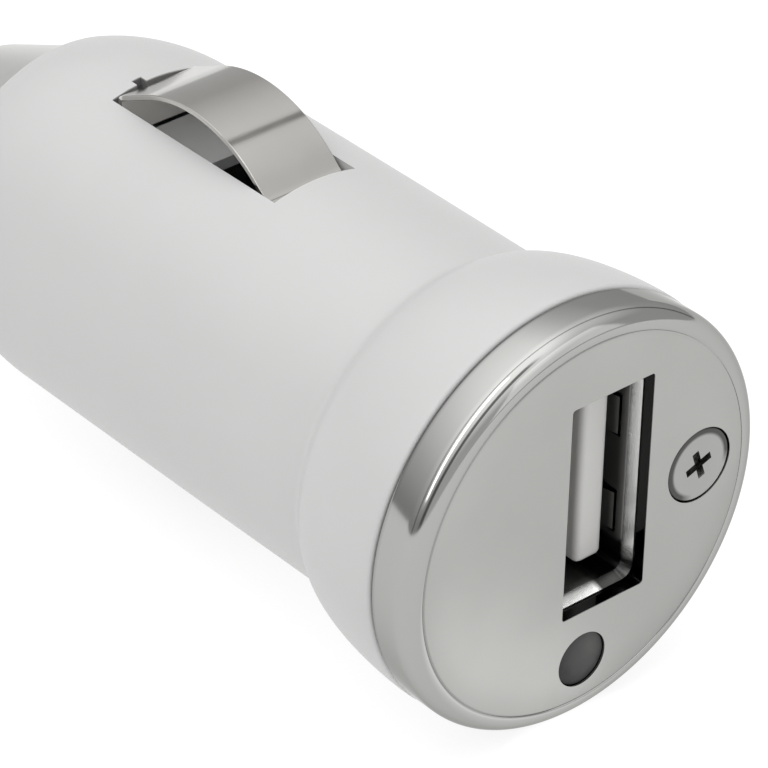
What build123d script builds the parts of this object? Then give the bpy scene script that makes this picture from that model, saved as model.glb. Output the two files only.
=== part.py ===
from build123d import *
import math
import os

os.makedirs("parts", exist_ok=True)

# Driving dimensions in mm. The axis of the plug is Y: its face looks to -Y and its nose to +Y.
# The origin is on the axis, at the shoulder where the barrel leaves the flare.

# Fits shared by mating pieces
seat_gap = 0.04
slide_gap = 0.06
lip_gap = 0.1
end_gap = 0.25

# Body shell
barrel_radius = 10.42
barrel_wall = 1.27
barrel_land = 10.8
barrel_draft = 0.07
body_length = 33.2
nose_length = 8.8
rim_radius = 8.72
rim_round = 0.4
flange_radius = 12.35
flange_length = 10.6
flange_band = 0.7
flare_angle = 54.5
flare_lead = 2.18
floor_thickness = 4.1
spigot_wall = 0.7

# Face plate
plate_inset = 0.05
plate_thickness = 0.7
plate_round = 1.1
skirt_length = 2.8
skirt_wall = 1.1
seam_round = 0.25
cut_round = 0.1

# Face screw
screw_place = 0.529
screw_z = 0.4
screw_radius = 1.1
screw_length = 8.4
head_radius = 2.25
head_height = 0.9
recess_turn = 19
head_sink = 0.08
head_room = 0.12
screw_land = 0.7
boss_wall = 0.8
pad_wall = 0.45

# USB-A receptacle
usb_x = 1.45
usb_z = 1.1
port_width = 5.12
port_height = 12.5
port_length = 13.9
port_wall = 0.3
port_corner = 0.5
cutout_width = 5.7
cutout_height = 13.2
lip_length = 0.65
lip_flare = 0.24
tongue_width = 1.84
tongue_height = 11.1
tongue_offset = 0.64
tongue_set_back = 1.42
insert_depth = 9.2
strip_width = 1.0
strip_thickness = 0.25
strip_inner = 1.0
strip_outer = 3.5

# Indicator light
led_radius = 1.58
led_length = 5.4
led_dome = 0.25
led_sink = 0.04
led_room = 0.05
led_rim_gap = 0.28
leg_spread = 1.27
leg_size = 0.5

# Circuit board
board_thickness = 1.2
board_rim_gap = 0.5
board_wall_gap = 0.26
board_leaf_gap = 0.42
board_foot_gap = 1.0
board_front_gap = 0.75
board_rear_gap = 1.1
board_head_run = 2.1

# Side contacts
window_width = 5.6
window_lead = 0.5
window_overrun = 0.7
leaf_thickness = 0.3
leaf_margin = 0.2
leaf_sink = 0.42
rise_ratio = 0.1362
arch_ratio = 0.638
crest_place = 0.528
front_angle = 39.5
rear_angle = 26.0
lip_thickness = 0.77
foot_length = 1.3
tail_drop = 2.6
tail_length = 1.95
web_thickness = 0.7
web_gap = 0.2
web_depth = 0.52
web_ratio = 0.346

# Nose ring, centre pin and spring
bore_radius = 6.35
ring_base = 8.1
ring_end = 5.2
ring_length = 7.2
chamber_radius = 4.6
pin_radius = 2.6
pin_flange = 4.1
pin_flange_thickness = 1.2
pin_reach = 5.0
pin_travel = 2.5
wire_radius = 0.25
spring_radius = 2.95
spring_turns = 6
terminal_thickness = 0.5
terminal_radius = 3.6
terminal_tab_length = 2.2
terminal_tab_width = 2.4

# Parts on the board
core_radius = 3.9
core_height = 5.0
core_gap = 0.9
core_z = 1.3
can_radius = 3.15
can_gap = 1.7
can_tail_room = 2.52
small_can_radius = 2.0
small_can_height = 5.4
small_can_gap = 0.6
small_z = -4.6
chip_length = 4.9
chip_width = 3.9
chip_height = 1.4
chip_lift = 0.15
pin_pitch = 1.27
pin_width = 0.4
pin_thickness = 0.2
pin_span = 1.05
diode_length = 4.3
diode_width = 2.6
diode_height = 2.0
diode_tab = 1.2
diode_gap = 1.25
resistor_length = 2.0
resistor_width = 1.25
resistor_height = 0.5
bypass_length = 3.2
bypass_width = 1.6
bypass_height = 1.1
lead_size = 0.5
lead_spread = 1.25
lead_run = 0.8
cable_radius = 0.4

# Derived places along the axis
face_y = -flange_length
plate_back = face_y + plate_thickness
skirt_rear = face_y + skirt_length
flange_front = skirt_rear + seat_gap
flare_y = flange_front + flange_band
spigot_front = plate_back + 0.4
floor_y = body_length - floor_thickness
usb_front = plate_back + 0.08
usb_rear = usb_front + port_length
barrel_length = body_length - nose_length
window_front = barrel_land + window_lead
window_rear = barrel_length + window_overrun
window_length = window_rear - window_front
leaf_rise = window_length * rise_ratio
leaf_travel = leaf_rise + leaf_sink
arch_radius = window_length * arch_ratio

# Derived radii and places across the axis
plate_radius = flange_radius - plate_inset
skirt_inner = plate_radius - skirt_wall
spigot_radius = skirt_inner - slide_gap
cavity_radius = spigot_radius - spigot_wall
inner_radius = barrel_radius - barrel_wall
floor_radius = inner_radius - 0.85
port_outer_width = port_width + 2 * port_wall
port_outer_height = port_height + 2 * port_wall
board_face = usb_x - port_outer_width / 2 - seat_gap
board_back = board_face - board_thickness
board_head = math.sqrt(cavity_radius**2 - board_back**2) - board_rim_gap
board_half = math.sqrt(inner_radius**2 - board_back**2) - board_wall_gap
board_tail = barrel_radius - tail_drop - leaf_thickness - leaf_travel - board_leaf_gap
board_step = window_front - foot_length - board_foot_gap
led_x = board_face + led_radius + seat_gap
led_z = led_radius + led_rim_gap - cavity_radius
cutout_edge = usb_x + cutout_width / 2
screw_x = cutout_edge + (plate_radius - plate_round - cutout_edge) * screw_place
sink_floor = face_y + head_sink + head_height
pad_back = sink_floor + screw_land
boss_front = pad_back + seat_gap
boss_radius = screw_radius + boss_wall
sink_radius = head_radius + head_room
pad_radius = sink_radius + pad_wall
boss_rear = sink_floor + screw_length + 1.4

BACK = (0, 1, 0)


def across(y, x=0.0, z=0.0):
    """Plane across the axis: its own x and y run along X and Z."""
    return Plane(origin=(x, y, z), x_dir=(1, 0, 0), z_dir=(0, -1, 0))


def on_board(y, z, lift=0.0):
    """Plane on the board's front side: its own x and y run along Y and Z."""
    return Plane(origin=(board_face + lift, y, z), x_dir=(0, 1, 0), z_dir=(1, 0, 0))


def under_board(y, z, lift=0.0):
    """Plane on the board's back side: its own x runs along Y and its y along -Z."""
    return Plane(origin=(board_back - lift, y, z), x_dir=(0, 1, 0), z_dir=(-1, 0, 0))


def hand_in(piece, name):
    """Label one finished piece and write its file."""
    piece.label = name
    export_step(piece, f"parts/{name}.step")


# Body shell: one moulding with the barrel, the flare and the flange
lead_r = barrel_radius + flare_lead * math.sin(math.radians(flare_angle))
lead_y = -flare_lead * math.cos(math.radians(flare_angle))
barrel_end = barrel_radius - barrel_draft
cavity_y = flare_y * 0.56
pocket_top = barrel_radius - lip_thickness
rail_top = board_half - 1.2
web_top = barrel_radius - leaf_travel - web_depth
web_rear = window_rear - end_gap - leaf_thickness - web_gap
web_front = web_rear - window_length * web_ratio
web_half = math.sqrt(inner_radius**2 - (web_top - web_thickness) ** 2) + 0.3
with BuildPart() as body_shell:
    with BuildSketch(Plane.XY) as shell_section:
        with BuildLine():
            Polyline(
                (cavity_radius, spigot_front),
                (spigot_radius, spigot_front),
                (spigot_radius, flange_front),
                (flange_radius, flange_front),
                (flange_radius, flare_y),
            )
            Bezier(
                (flange_radius, flare_y),
                (flange_radius, flare_y + 0.2),
                (lead_r, lead_y),
                (barrel_radius, 0),
            )
            Polyline((barrel_radius, 0), (barrel_radius, barrel_land), (barrel_end, barrel_length))
            TangentArc((barrel_end, barrel_length), (rim_radius, body_length), tangent=(0, 1))
            Polyline(
                (rim_radius, body_length),
                (bore_radius, body_length),
                (bore_radius, floor_y),
                (floor_radius, floor_y),
                (inner_radius, barrel_length - 0.4),
                (inner_radius, 0),
                (cavity_radius, cavity_y),
                (cavity_radius, spigot_front),
            )
        make_face()
        rim_corner = shell_section.vertices().sort_by_distance((rim_radius, body_length))[0]
        fillet(rim_corner, radius=rim_round)
        seam_corner = shell_section.vertices().sort_by_distance((flange_radius, flange_front))[0]
        fillet(seam_corner, radius=seam_round)
    revolve(axis=Axis.Y)
    # Screw boss and the web that ties it to the wall
    with BuildSketch(across(boss_front, screw_x, screw_z)):
        Circle(boss_radius)
    extrude(amount=boss_rear - boss_front, dir=BACK)
    with BuildSketch(across(boss_front + 0.6, screw_x, screw_z)):
        Rectangle(cavity_radius + 0.3 - screw_x, 1.0, align=(Align.MIN, Align.CENTER))
    extrude(amount=-0.8 - boss_front - 0.6, dir=BACK)
    with BuildSketch(across(boss_front, screw_x, screw_z)):
        Circle(screw_radius + seat_gap)
    extrude(amount=screw_length + 1.0, dir=BACK, mode=Mode.SUBTRACT)
    # Notch in the spigot for the plate's screw pad
    with BuildSketch(across(spigot_front, screw_x, screw_z)):
        Circle(pad_radius + lip_gap)
    extrude(amount=boss_front - spigot_front, dir=BACK, mode=Mode.SUBTRACT)
    # Rails that hold both edges of the board
    for side in (-1, 1):
        for rail_x in (board_face + lip_gap + 0.4, board_back - lip_gap - 0.4):
            with BuildSketch(across(usb_rear + 0.5, rail_x, side * rail_top)):
                Rectangle(
                    0.8,
                    inner_radius + 0.25 - rail_top,
                    align=(Align.CENTER, Align.MIN if side > 0 else Align.MAX),
                )
            extrude(amount=2.4, dir=BACK)
    # Contact windows, the pockets under their front lips and the notches in their rear edges
    with BuildSketch(Plane.XY):
        with Locations((0, (window_front + window_rear) / 2)):
            Rectangle(window_width, window_length)
        with Locations((-0.75, window_rear)):
            Rectangle(0.65, 1.0)
    extrude(amount=flange_radius, both=True, mode=Mode.SUBTRACT)
    with BuildSketch(Plane.XY):
        with Locations((0, window_front)):
            Rectangle(window_width + 0.1, 2 * foot_length + 0.8)
    extrude(amount=pocket_top, both=True, mode=Mode.SUBTRACT)
    # Webs behind the windows that keep the leaves off the board
    for side in (-1, 1):
        with BuildSketch(across(web_front, 0, side * web_top)):
            Rectangle(
                2 * web_half,
                web_thickness,
                align=(Align.CENTER, Align.MAX if side > 0 else Align.MIN),
            )
        extrude(amount=web_rear - web_front, dir=BACK)
hand_in(body_shell.part, "body_shell")

# Face plate: a shallow cap with the port, the light's hole and the sunk screw hole
with BuildPart() as face_plate:
    with BuildSketch(Plane.XY) as plate_section:
        with BuildLine():
            Polyline(
                (0, face_y),
                (plate_radius, face_y),
                (plate_radius, skirt_rear),
                (skirt_inner, skirt_rear),
                (skirt_inner, plate_back),
                (0, plate_back),
                close=True,
            )
        make_face()
        rolled_corner = plate_section.vertices().sort_by_distance((plate_radius, face_y))[0]
        fillet(rolled_corner, radius=plate_round)
        skirt_corner = plate_section.vertices().sort_by_distance((plate_radius, skirt_rear))[0]
        fillet(skirt_corner, radius=seam_round)
        inner_corner = plate_section.vertices().sort_by_distance((skirt_inner, plate_back))[0]
        fillet(inner_corner, radius=plate_round * 0.4)
    revolve(axis=Axis.Y)
    with BuildSketch(across(plate_back)):
        with Locations((screw_x, screw_z)):
            Circle(pad_radius)
    extrude(amount=pad_back - plate_back, dir=BACK)
    with BuildSketch(across(face_y, usb_x, usb_z)):
        RectangleRounded(cutout_width, cutout_height, 0.2)
    extrude(amount=plate_thickness, dir=BACK, mode=Mode.SUBTRACT)
    with BuildSketch(across(face_y, led_x, led_z)):
        Circle(led_radius + led_room)
    extrude(amount=plate_thickness, dir=BACK, mode=Mode.SUBTRACT)
    with BuildSketch(across(face_y, screw_x, screw_z)):
        Circle(sink_radius)
    extrude(amount=sink_floor - face_y, dir=BACK, mode=Mode.SUBTRACT)
    with BuildSketch(across(sink_floor, screw_x, screw_z)):
        Circle(screw_radius + head_room)
    extrude(amount=screw_land, dir=BACK, mode=Mode.SUBTRACT)
    front_face = face_plate.faces().filter_by(Axis.Y).sort_by(Axis.Y)[0]
    fillet(front_face.inner_wires().edges(), radius=cut_round)
hand_in(face_plate.part, "face_plate")

# Face screw with a cross recess
with BuildPart() as face_screw:
    with BuildSketch(across(face_y + head_sink, screw_x, screw_z)):
        Circle(head_radius)
    extrude(amount=head_height, dir=BACK)
    fillet(face_screw.edges().sort_by(Axis.Y)[0], radius=head_height * 0.55)
    with BuildSketch(across(sink_floor, screw_x, screw_z)):
        Circle(screw_radius)
    extrude(amount=screw_length, dir=BACK)
    chamfer(face_screw.edges().sort_by(Axis.Y)[-1], length=screw_radius * 0.5)
    with BuildSketch(across(face_y + head_sink, screw_x, screw_z)):
        Rectangle(head_radius, head_radius * 0.25, rotation=recess_turn)
        Rectangle(head_radius * 0.25, head_radius, rotation=recess_turn)
    extrude(amount=head_height * 0.75, dir=BACK, mode=Mode.SUBTRACT, taper=12)
hand_in(face_screw.part, "face_screw")

# USB shell: folded steel tube with a flared lip, spring tabs and two legs through the board
tab_x = port_width / 2 + port_wall / 2
tab_z = 3.0
leg_y = usb_front + port_length * 0.5
with BuildPart() as usb_shell:
    with BuildSketch(across(usb_front + lip_length, usb_x, usb_z)):
        RectangleRounded(port_outer_width, port_outer_height, port_corner + port_wall)
    extrude(amount=port_length - lip_length, dir=BACK)
    with BuildSketch(across(usb_front, usb_x, usb_z)):
        RectangleRounded(
            port_outer_width + 2 * lip_flare,
            port_outer_height + 2 * lip_flare,
            port_corner + port_wall + lip_flare,
        )
    with BuildSketch(across(usb_front + lip_length, usb_x, usb_z)):
        RectangleRounded(port_outer_width, port_outer_height, port_corner + port_wall)
    loft()
    with BuildSketch(across(usb_front + lip_length, usb_x, usb_z)):
        RectangleRounded(port_width, port_height, port_corner)
    extrude(amount=port_length - lip_length, dir=BACK, mode=Mode.SUBTRACT)
    with BuildSketch(across(usb_front, usb_x, usb_z)):
        RectangleRounded(
            port_width + 2 * lip_flare, port_height + 2 * lip_flare, port_corner + lip_flare
        )
    with BuildSketch(across(usb_front + lip_length, usb_x, usb_z)):
        RectangleRounded(port_width, port_height, port_corner)
    loft(mode=Mode.SUBTRACT)
    # Spring tabs, two in each broad wall
    with BuildSketch(Plane(origin=(usb_x, usb_front, usb_z), x_dir=(0, 1, 0), z_dir=(1, 0, 0))):
        with Locations((3.9, tab_z), (3.9, -tab_z)):
            Rectangle(5.4, 2.7)
    extrude(amount=port_outer_width, both=True, mode=Mode.SUBTRACT)
    for tab_side in (-1, 1):
        for row in (-1, 1):
            with BuildSketch(
                Plane(
                    origin=(usb_x, usb_front, usb_z + row * tab_z),
                    x_dir=(tab_side, 0, 0),
                    z_dir=(0, 0, tab_side),
                )
            ):
                with BuildLine():
                    FilletPolyline(
                        (tab_x - 0.1, 1.35),
                        (tab_x - 0.42, 2.9),
                        (tab_x, 6.2),
                        (tab_x, 6.9),
                        radius=0.4,
                    )
                trace(line_width=port_wall - 0.04)
            extrude(amount=1.15, both=True)
    # Legs
    for side in (-1, 1):
        with BuildSketch(across(leg_y - 0.8, board_back - 0.5, usb_z + side * (port_outer_height / 2))):
            Rectangle(
                port_outer_width / 2 + board_thickness + 0.5,
                port_wall,
                align=(Align.MIN, Align.MAX if side > 0 else Align.MIN),
            )
        extrude(amount=1.6, dir=BACK)
hand_in(usb_shell.part, "usb_shell")

# USB insulator: base block and tongue in one moulding, grooved for the strips
tongue_far = usb_x + port_width / 2 - tongue_offset
tongue_near = tongue_far - tongue_width
tongue_front = usb_front + tongue_set_back
strip_places = (-strip_outer, -strip_inner, strip_inner, strip_outer)
strip_front = tongue_front + 0.9
drop_front = usb_rear + 0.15
with BuildPart() as usb_insulator:
    with BuildSketch(across(usb_front + insert_depth, usb_x, usb_z)):
        RectangleRounded(
            port_width - 2 * seat_gap, port_height - 2 * seat_gap, port_corner
        )
    extrude(amount=port_length - insert_depth, dir=BACK)
    with BuildSketch(across(tongue_front, (tongue_near + tongue_far) / 2, usb_z)):
        RectangleRounded(tongue_width, tongue_height, 0.3)
    extrude(amount=insert_depth - tongue_set_back, dir=BACK)
    with BuildSketch(across(strip_front, tongue_near, usb_z)):
        with Locations(*[(0, offset_z) for offset_z in strip_places]):
            Rectangle(strip_thickness + 0.1, strip_width + 2 * seat_gap)
    extrude(amount=usb_rear - strip_front, dir=BACK, mode=Mode.SUBTRACT)
hand_in(usb_insulator.part, "usb_insulator")

# USB contact strips: along the tongue, through the base and down through the board
for number, offset_z in enumerate(strip_places, start=1):
    with BuildPart() as usb_contact:
        with BuildSketch(Plane(origin=(0, 0, usb_z + offset_z), x_dir=(1, 0, 0), z_dir=(0, 0, 1))):
            with BuildLine():
                FilletPolyline(
                    (tongue_near, strip_front + seat_gap),
                    (tongue_near, drop_front + strip_thickness / 2),
                    (board_back - 0.8, drop_front + strip_thickness / 2),
                    radius=0.3,
                )
            trace(line_width=strip_thickness)
        extrude(amount=strip_width / 2, both=True)
    hand_in(usb_contact.part, f"usb_contact_{number}")

# Indicator light and its two legs
led_front = face_y + led_sink
led_rear = led_front + led_length
cap_radius = (led_radius**2 + led_dome**2) / (2 * led_dome)
with BuildPart() as indicator_led:
    with BuildSketch(Plane(origin=(led_x, 0, led_z), x_dir=(1, 0, 0), z_dir=(0, 0, 1))):
        with BuildLine():
            RadiusArc((0, led_front), (led_radius, led_front + led_dome), -cap_radius)
            Polyline(
                (led_radius, led_front + led_dome),
                (led_radius, led_rear),
                (0, led_rear),
                (0, led_front),
            )
        make_face()
    revolve(axis=Axis((led_x, 0, led_z), BACK))
hand_in(indicator_led.part, "indicator_led")

leg_places = {"led_leg_near": (-leg_spread, 0.7), "led_leg_far": (leg_spread, 1.5)}
for name, (leg_dx, leg_run) in leg_places.items():
    with BuildPart() as led_leg:
        with BuildSketch(Plane(origin=(0, 0, led_z), x_dir=(1, 0, 0), z_dir=(0, 0, 1))):
            with BuildLine():
                Polyline(
                    (led_x + leg_dx, led_rear),
                    (led_x + leg_dx, led_rear + leg_run),
                    (board_back - 0.7, led_rear + leg_run),
                )
            trace(line_width=leg_size)
        extrude(amount=leg_size / 2, both=True)
    hand_in(led_leg.part, name)

# Circuit board: a wide head for the light, a middle held by the rails and a narrow tail
board_front = plate_back + board_front_gap
head_rear = led_rear + board_head_run
board_rear = floor_y - board_rear_gap
small_y = usb_rear + small_can_radius + small_can_gap
core_y = usb_rear + core_radius + core_gap
can_y = core_y + core_radius + can_gap
can_length = board_rear - can_tail_room - can_y
with BuildPart() as circuit_board:
    with BuildSketch(on_board(0, 0)):
        with BuildLine():
            Polyline(
                (board_front, -board_head),
                (head_rear, -board_head),
                (head_rear, -board_half),
                (board_step, -board_half),
                (board_step, -board_tail),
                (board_rear, -board_tail),
                (board_rear, board_tail),
                (board_step, board_tail),
                (board_step, board_half),
                (board_front, board_half),
                close=True,
            )
        make_face()
        with Locations((leg_y, usb_z + port_outer_height / 2), (leg_y, usb_z - port_outer_height / 2)):
            Rectangle(2.0, 2 * port_wall + 0.4, mode=Mode.SUBTRACT)
        with Locations(*[(drop_front + strip_thickness / 2, usb_z + dz) for dz in strip_places]):
            Circle(strip_width / 2 + 0.1, mode=Mode.SUBTRACT)
        with Locations(*[(led_rear + run, led_z) for _, run in leg_places.values()]):
            Circle(leg_size * 0.78, mode=Mode.SUBTRACT)
        with Locations((can_y - lead_run, lead_spread), (can_y - lead_run, -lead_spread)):
            Circle(lead_size * 0.9, mode=Mode.SUBTRACT)
    extrude(amount=-board_thickness)
hand_in(circuit_board.part, "circuit_board")

# Inductor: a drum core and its winding
with BuildPart() as inductor_core:
    with BuildSketch(on_board(core_y, core_z, seat_gap)):
        Circle(core_radius)
    extrude(amount=core_height * 0.2)
    with BuildSketch(on_board(core_y, core_z, seat_gap)):
        Circle(core_radius * 0.5)
    extrude(amount=core_height)
    with BuildSketch(on_board(core_y, core_z, seat_gap + core_height * 0.82)):
        Circle(core_radius)
    extrude(amount=core_height * 0.18)
hand_in(inductor_core.part, "inductor_core")

with BuildPart() as inductor_winding:
    with BuildSketch(on_board(core_y, core_z, core_height * 0.2 + 2 * seat_gap)):
        Circle(core_radius * 0.9)
        Circle(core_radius * 0.5 + seat_gap, mode=Mode.SUBTRACT)
    extrude(amount=core_height * 0.62 - 2 * seat_gap)
hand_in(inductor_winding.part, "inductor_winding")

# Input capacitor: a can lying along the board, with two bent leads
can_x = board_face + can_radius + lip_gap
with BuildPart() as input_capacitor:
    with BuildSketch(Plane(origin=(can_x, 0, 0), x_dir=(1, 0, 0), z_dir=(0, 0, 1))):
        with BuildLine():
            Polyline(
                (0, can_y),
                (can_radius - 0.3, can_y),
                (can_radius, can_y + 0.3),
                (can_radius, can_y + 1.2),
                (can_radius - 0.35, can_y + 1.6),
                (can_radius, can_y + 2.0),
                (can_radius, can_y + can_length - 0.4),
                (can_radius - 0.4, can_y + can_length),
                (0, can_y + can_length),
                close=True,
            )
        make_face()
    revolve(axis=Axis((can_x, 0, 0), BACK))
    for lead_z in (-lead_spread, lead_spread):
        with BuildSketch(Plane(origin=(0, 0, lead_z), x_dir=(1, 0, 0), z_dir=(0, 0, 1))):
            with BuildLine():
                Polyline(
                    (can_x - 1.0, can_y + 0.2),
                    (can_x - 1.0, can_y - lead_run),
                    (board_back - 0.6, can_y - lead_run),
                )
            trace(line_width=lead_size)
        extrude(amount=lead_size / 2, both=True)
hand_in(input_capacitor.part, "input_capacitor")

# Output capacitor: a small can standing on the board
with BuildPart() as output_capacitor:
    with BuildSketch(on_board(small_y, small_z, seat_gap)):
        Circle(small_can_radius)
    extrude(amount=small_can_height)
    fillet(output_capacitor.edges().sort_by(Axis.X)[-1], radius=0.3)
hand_in(output_capacitor.part, "output_capacitor")

# Converter chip with its pins, on the board's back side
chip_y = usb_rear + 2.0 + chip_length / 2
with BuildPart() as converter_chip:
    with BuildSketch(under_board(chip_y, 0, chip_lift)):
        Rectangle(chip_length, chip_width)
    extrude(amount=chip_height)
    chamfer(converter_chip.faces().sort_by(Axis.X)[0].edges(), length=chip_height * 0.1)
hand_in(converter_chip.part, "converter_chip")

with BuildPart() as converter_pins:
    for side in (-1, 1):
        for step in (-1.5, -0.5, 0.5, 1.5):
            with BuildSketch(
                Plane(
                    origin=(board_back, chip_y + step * pin_pitch, 0),
                    x_dir=(0, 0, side),
                    z_dir=(0, -side, 0),
                )
            ):
                with BuildLine():
                    Polyline(
                        (chip_width / 2, chip_lift + chip_height * 0.46),
                        (chip_width / 2 + pin_span * 0.33, chip_lift + chip_height * 0.46),
                        (chip_width / 2 + pin_span * 0.43, pin_thickness * 0.6),
                        (chip_width / 2 + pin_span, pin_thickness * 0.6),
                    )
                trace(line_width=pin_thickness)
            extrude(amount=pin_width / 2, both=True)
hand_in(converter_pins.part, "converter_pins")

# Rectifier diode: a block with two end tabs
resistor_y = can_y + resistor_length * 1.1
diode_y = resistor_y + (resistor_length + diode_length) / 2 + diode_gap
with BuildPart() as rectifier_diode:
    with BuildSketch(under_board(diode_y, 0, 0.1)):
        Rectangle(diode_length, diode_width)
    extrude(amount=diode_height)
    with BuildSketch(under_board(diode_y, 0, 0.02)):
        with GridLocations(diode_length - diode_tab * 0.25, 0, 2, 1):
            Rectangle(diode_tab, diode_width * 0.54)
    extrude(amount=diode_height * 0.45)
hand_in(rectifier_diode.part, "rectifier_diode")

# Chip resistors and a bypass capacitor, on the board's back side
resistor_pitch = resistor_width * 1.1
resistor_size = (resistor_length, resistor_width, resistor_height)
bypass_size = (bypass_length, bypass_width, bypass_height)
chip_places = {
    "sense_resistor": (resistor_y, 2 * resistor_pitch, resistor_size),
    "upper_divider_resistor": (resistor_y, 0, resistor_size),
    "lower_divider_resistor": (resistor_y, -2 * resistor_pitch, resistor_size),
    "bypass_capacitor": (usb_rear - port_length * 0.35, 0, bypass_size),
}
for name, (place_y, place_z, (length, width, height)) in chip_places.items():
    with BuildPart() as chip_piece:
        with BuildSketch(under_board(place_y, place_z, 0.02)):
            Rectangle(length, width)
        extrude(amount=height)
    hand_in(chip_piece.part, name)

# Nose ring: a cone with a shank that seats in the body and a chamber for the pin
ring_rear = body_length + seat_gap
ring_front = ring_rear + ring_length
shank_rear = floor_y + 0.5
shoulder_y = ring_rear + ring_length * 0.5
with BuildPart() as nose_ring:
    with BuildSketch(Plane.XY) as ring_section:
        with BuildLine():
            Polyline(
                (chamber_radius, shank_rear),
                (bore_radius - seat_gap, shank_rear),
                (bore_radius - seat_gap, ring_rear),
                (ring_base, ring_rear),
                (ring_end, ring_front),
                (pin_radius + slide_gap, ring_front),
                (pin_radius + slide_gap, shoulder_y),
                (chamber_radius, shoulder_y),
                close=True,
            )
        make_face()
        base_corner = ring_section.vertices().sort_by_distance((ring_base, ring_rear))[0]
        fillet(base_corner, radius=0.3)
        end_corner = ring_section.vertices().sort_by_distance((ring_end, ring_front))[0]
        fillet(end_corner, radius=0.6)
    revolve(axis=Axis.Y)
hand_in(nose_ring.part, "nose_ring")

# Centre pin: a flanged shaft with a rounded end and a stub inside the spring
flange_y = shoulder_y - seat_gap
flange_rear = flange_y - pin_flange_thickness
pin_front = ring_front + pin_reach
stub_radius = spring_radius - wire_radius - 0.3
with BuildPart() as tip_pin:
    with BuildSketch(Plane.XY) as pin_section:
        with BuildLine():
            Polyline(
                (0, flange_rear - 1.4),
                (stub_radius, flange_rear - 1.4),
                (stub_radius, flange_rear),
                (pin_flange, flange_rear),
                (pin_flange, flange_y),
                (pin_radius, flange_y),
                (pin_radius, pin_front),
                (0, pin_front),
                close=True,
            )
        make_face()
        tip_corner = pin_section.vertices().sort_by_distance((pin_radius, pin_front))[0]
        fillet(tip_corner, radius=pin_radius * 0.55)
    revolve(axis=Axis.Y)
hand_in(tip_pin.part, "tip_pin")

# Tip terminal: a spring seat with a tab on the board
terminal_front = floor_y - 1.0
with BuildPart() as tip_terminal:
    with BuildSketch(across(terminal_front)):
        Circle(terminal_radius)
    extrude(amount=terminal_thickness, dir=BACK)
    with BuildSketch(on_board(terminal_front + 0.2, 0, seat_gap)):
        Rectangle(terminal_tab_length, terminal_tab_width, align=(Align.MAX, Align.CENTER))
    extrude(amount=terminal_thickness)
hand_in(tip_terminal.part, "tip_terminal")

# Tip spring between the terminal and the pin's flange
spring_start = terminal_front + terminal_thickness + wire_radius + seat_gap
spring_end = flange_rear - wire_radius - seat_gap
spring_height = spring_end - spring_start
with BuildPart() as tip_spring:
    with BuildLine() as coil:
        Helix(
            pitch=spring_height / spring_turns,
            height=spring_height,
            radius=spring_radius,
            center=(0, spring_start, 0),
            direction=BACK,
        )
    with BuildSketch(Plane(origin=coil.edge() @ 0, z_dir=coil.edge() % 0)):
        Circle(wire_radius)
    sweep(path=coil.edge(), is_frenet=True)
hand_in(tip_spring.part, "tip_spring")

# Side contacts: bowed leaves with a foot under the window's lip and a tail under the wall
leaf_width = window_width - 2 * leaf_margin
crest_y = window_front + window_length * crest_place
crest_z = barrel_radius + leaf_rise
half = leaf_thickness / 2
mid_radius = arch_radius - half
front_slope = math.tan(math.radians(front_angle))
rear_slope = math.tan(math.radians(rear_angle))
apex_lean = math.radians(rear_angle - front_angle) / 2
apex_reach = mid_radius / math.cos(math.radians(front_angle + rear_angle) / 2)
apex_y = crest_y + apex_reach * math.sin(apex_lean)
apex_z = crest_z - arch_radius + apex_reach * math.cos(apex_lean)
foot_z = pocket_top - lip_gap - half
tail_z = barrel_radius - tail_drop - half
mid_leg_y = window_rear - end_gap - half
leaf_line = [
    (window_front - foot_length, foot_z),
    (apex_y - (apex_z - foot_z) / front_slope, foot_z),
    (apex_y, apex_z),
    (mid_leg_y, apex_z - (mid_leg_y - apex_y) * rear_slope),
    (mid_leg_y, tail_z),
    (mid_leg_y + tail_length, tail_z),
]
corner_round = 0.3
bend_signs = (-1, 1, 1, -1)
bend_radii = (1.2, mid_radius, corner_round, corner_round)


def shifted(points, amount):
    """Line parallel to a bent line, its corners mitred."""
    turned = []
    for index, (y, z) in enumerate(points):
        before = points[max(index - 1, 0)]
        after = points[min(index + 1, len(points) - 1)]
        first = Vector(y - before[0], z - before[1]) if index else None
        last = Vector(after[0] - y, after[1] - z) if index < len(points) - 1 else None
        first = (first or last).normalized()
        last = (last or first).normalized()
        normal = Vector(-first.Y - last.Y, first.X + last.X).normalized()
        reach = amount / (normal.X * -last.Y + normal.Y * last.X)
        turned.append((y + normal.X * reach, z + normal.Y * reach))
    return turned


for name, side in (("side_contact_upper", 1), ("side_contact_lower", -1)):
    with BuildPart() as side_contact:
        with BuildSketch(Plane(origin=(0, 0, 0), x_dir=(0, 1, 0), z_dir=(side, 0, 0))):
            with BuildLine():
                outer_line = shifted(leaf_line, half)
                inner_line = shifted(leaf_line, -half)
                outer_radii = [r + half * sign for r, sign in zip(bend_radii, bend_signs)]
                inner_radii = [r - half * sign for r, sign in zip(bend_radii, bend_signs)]
                FilletPolyline(*outer_line, radius=outer_radii)
                FilletPolyline(*inner_line, radius=inner_radii)
                Line(outer_line[0], inner_line[0])
                Line(outer_line[-1], inner_line[-1])
            make_face()
        extrude(amount=leaf_width / 2, both=True)
    hand_in(side_contact.part, name)

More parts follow.
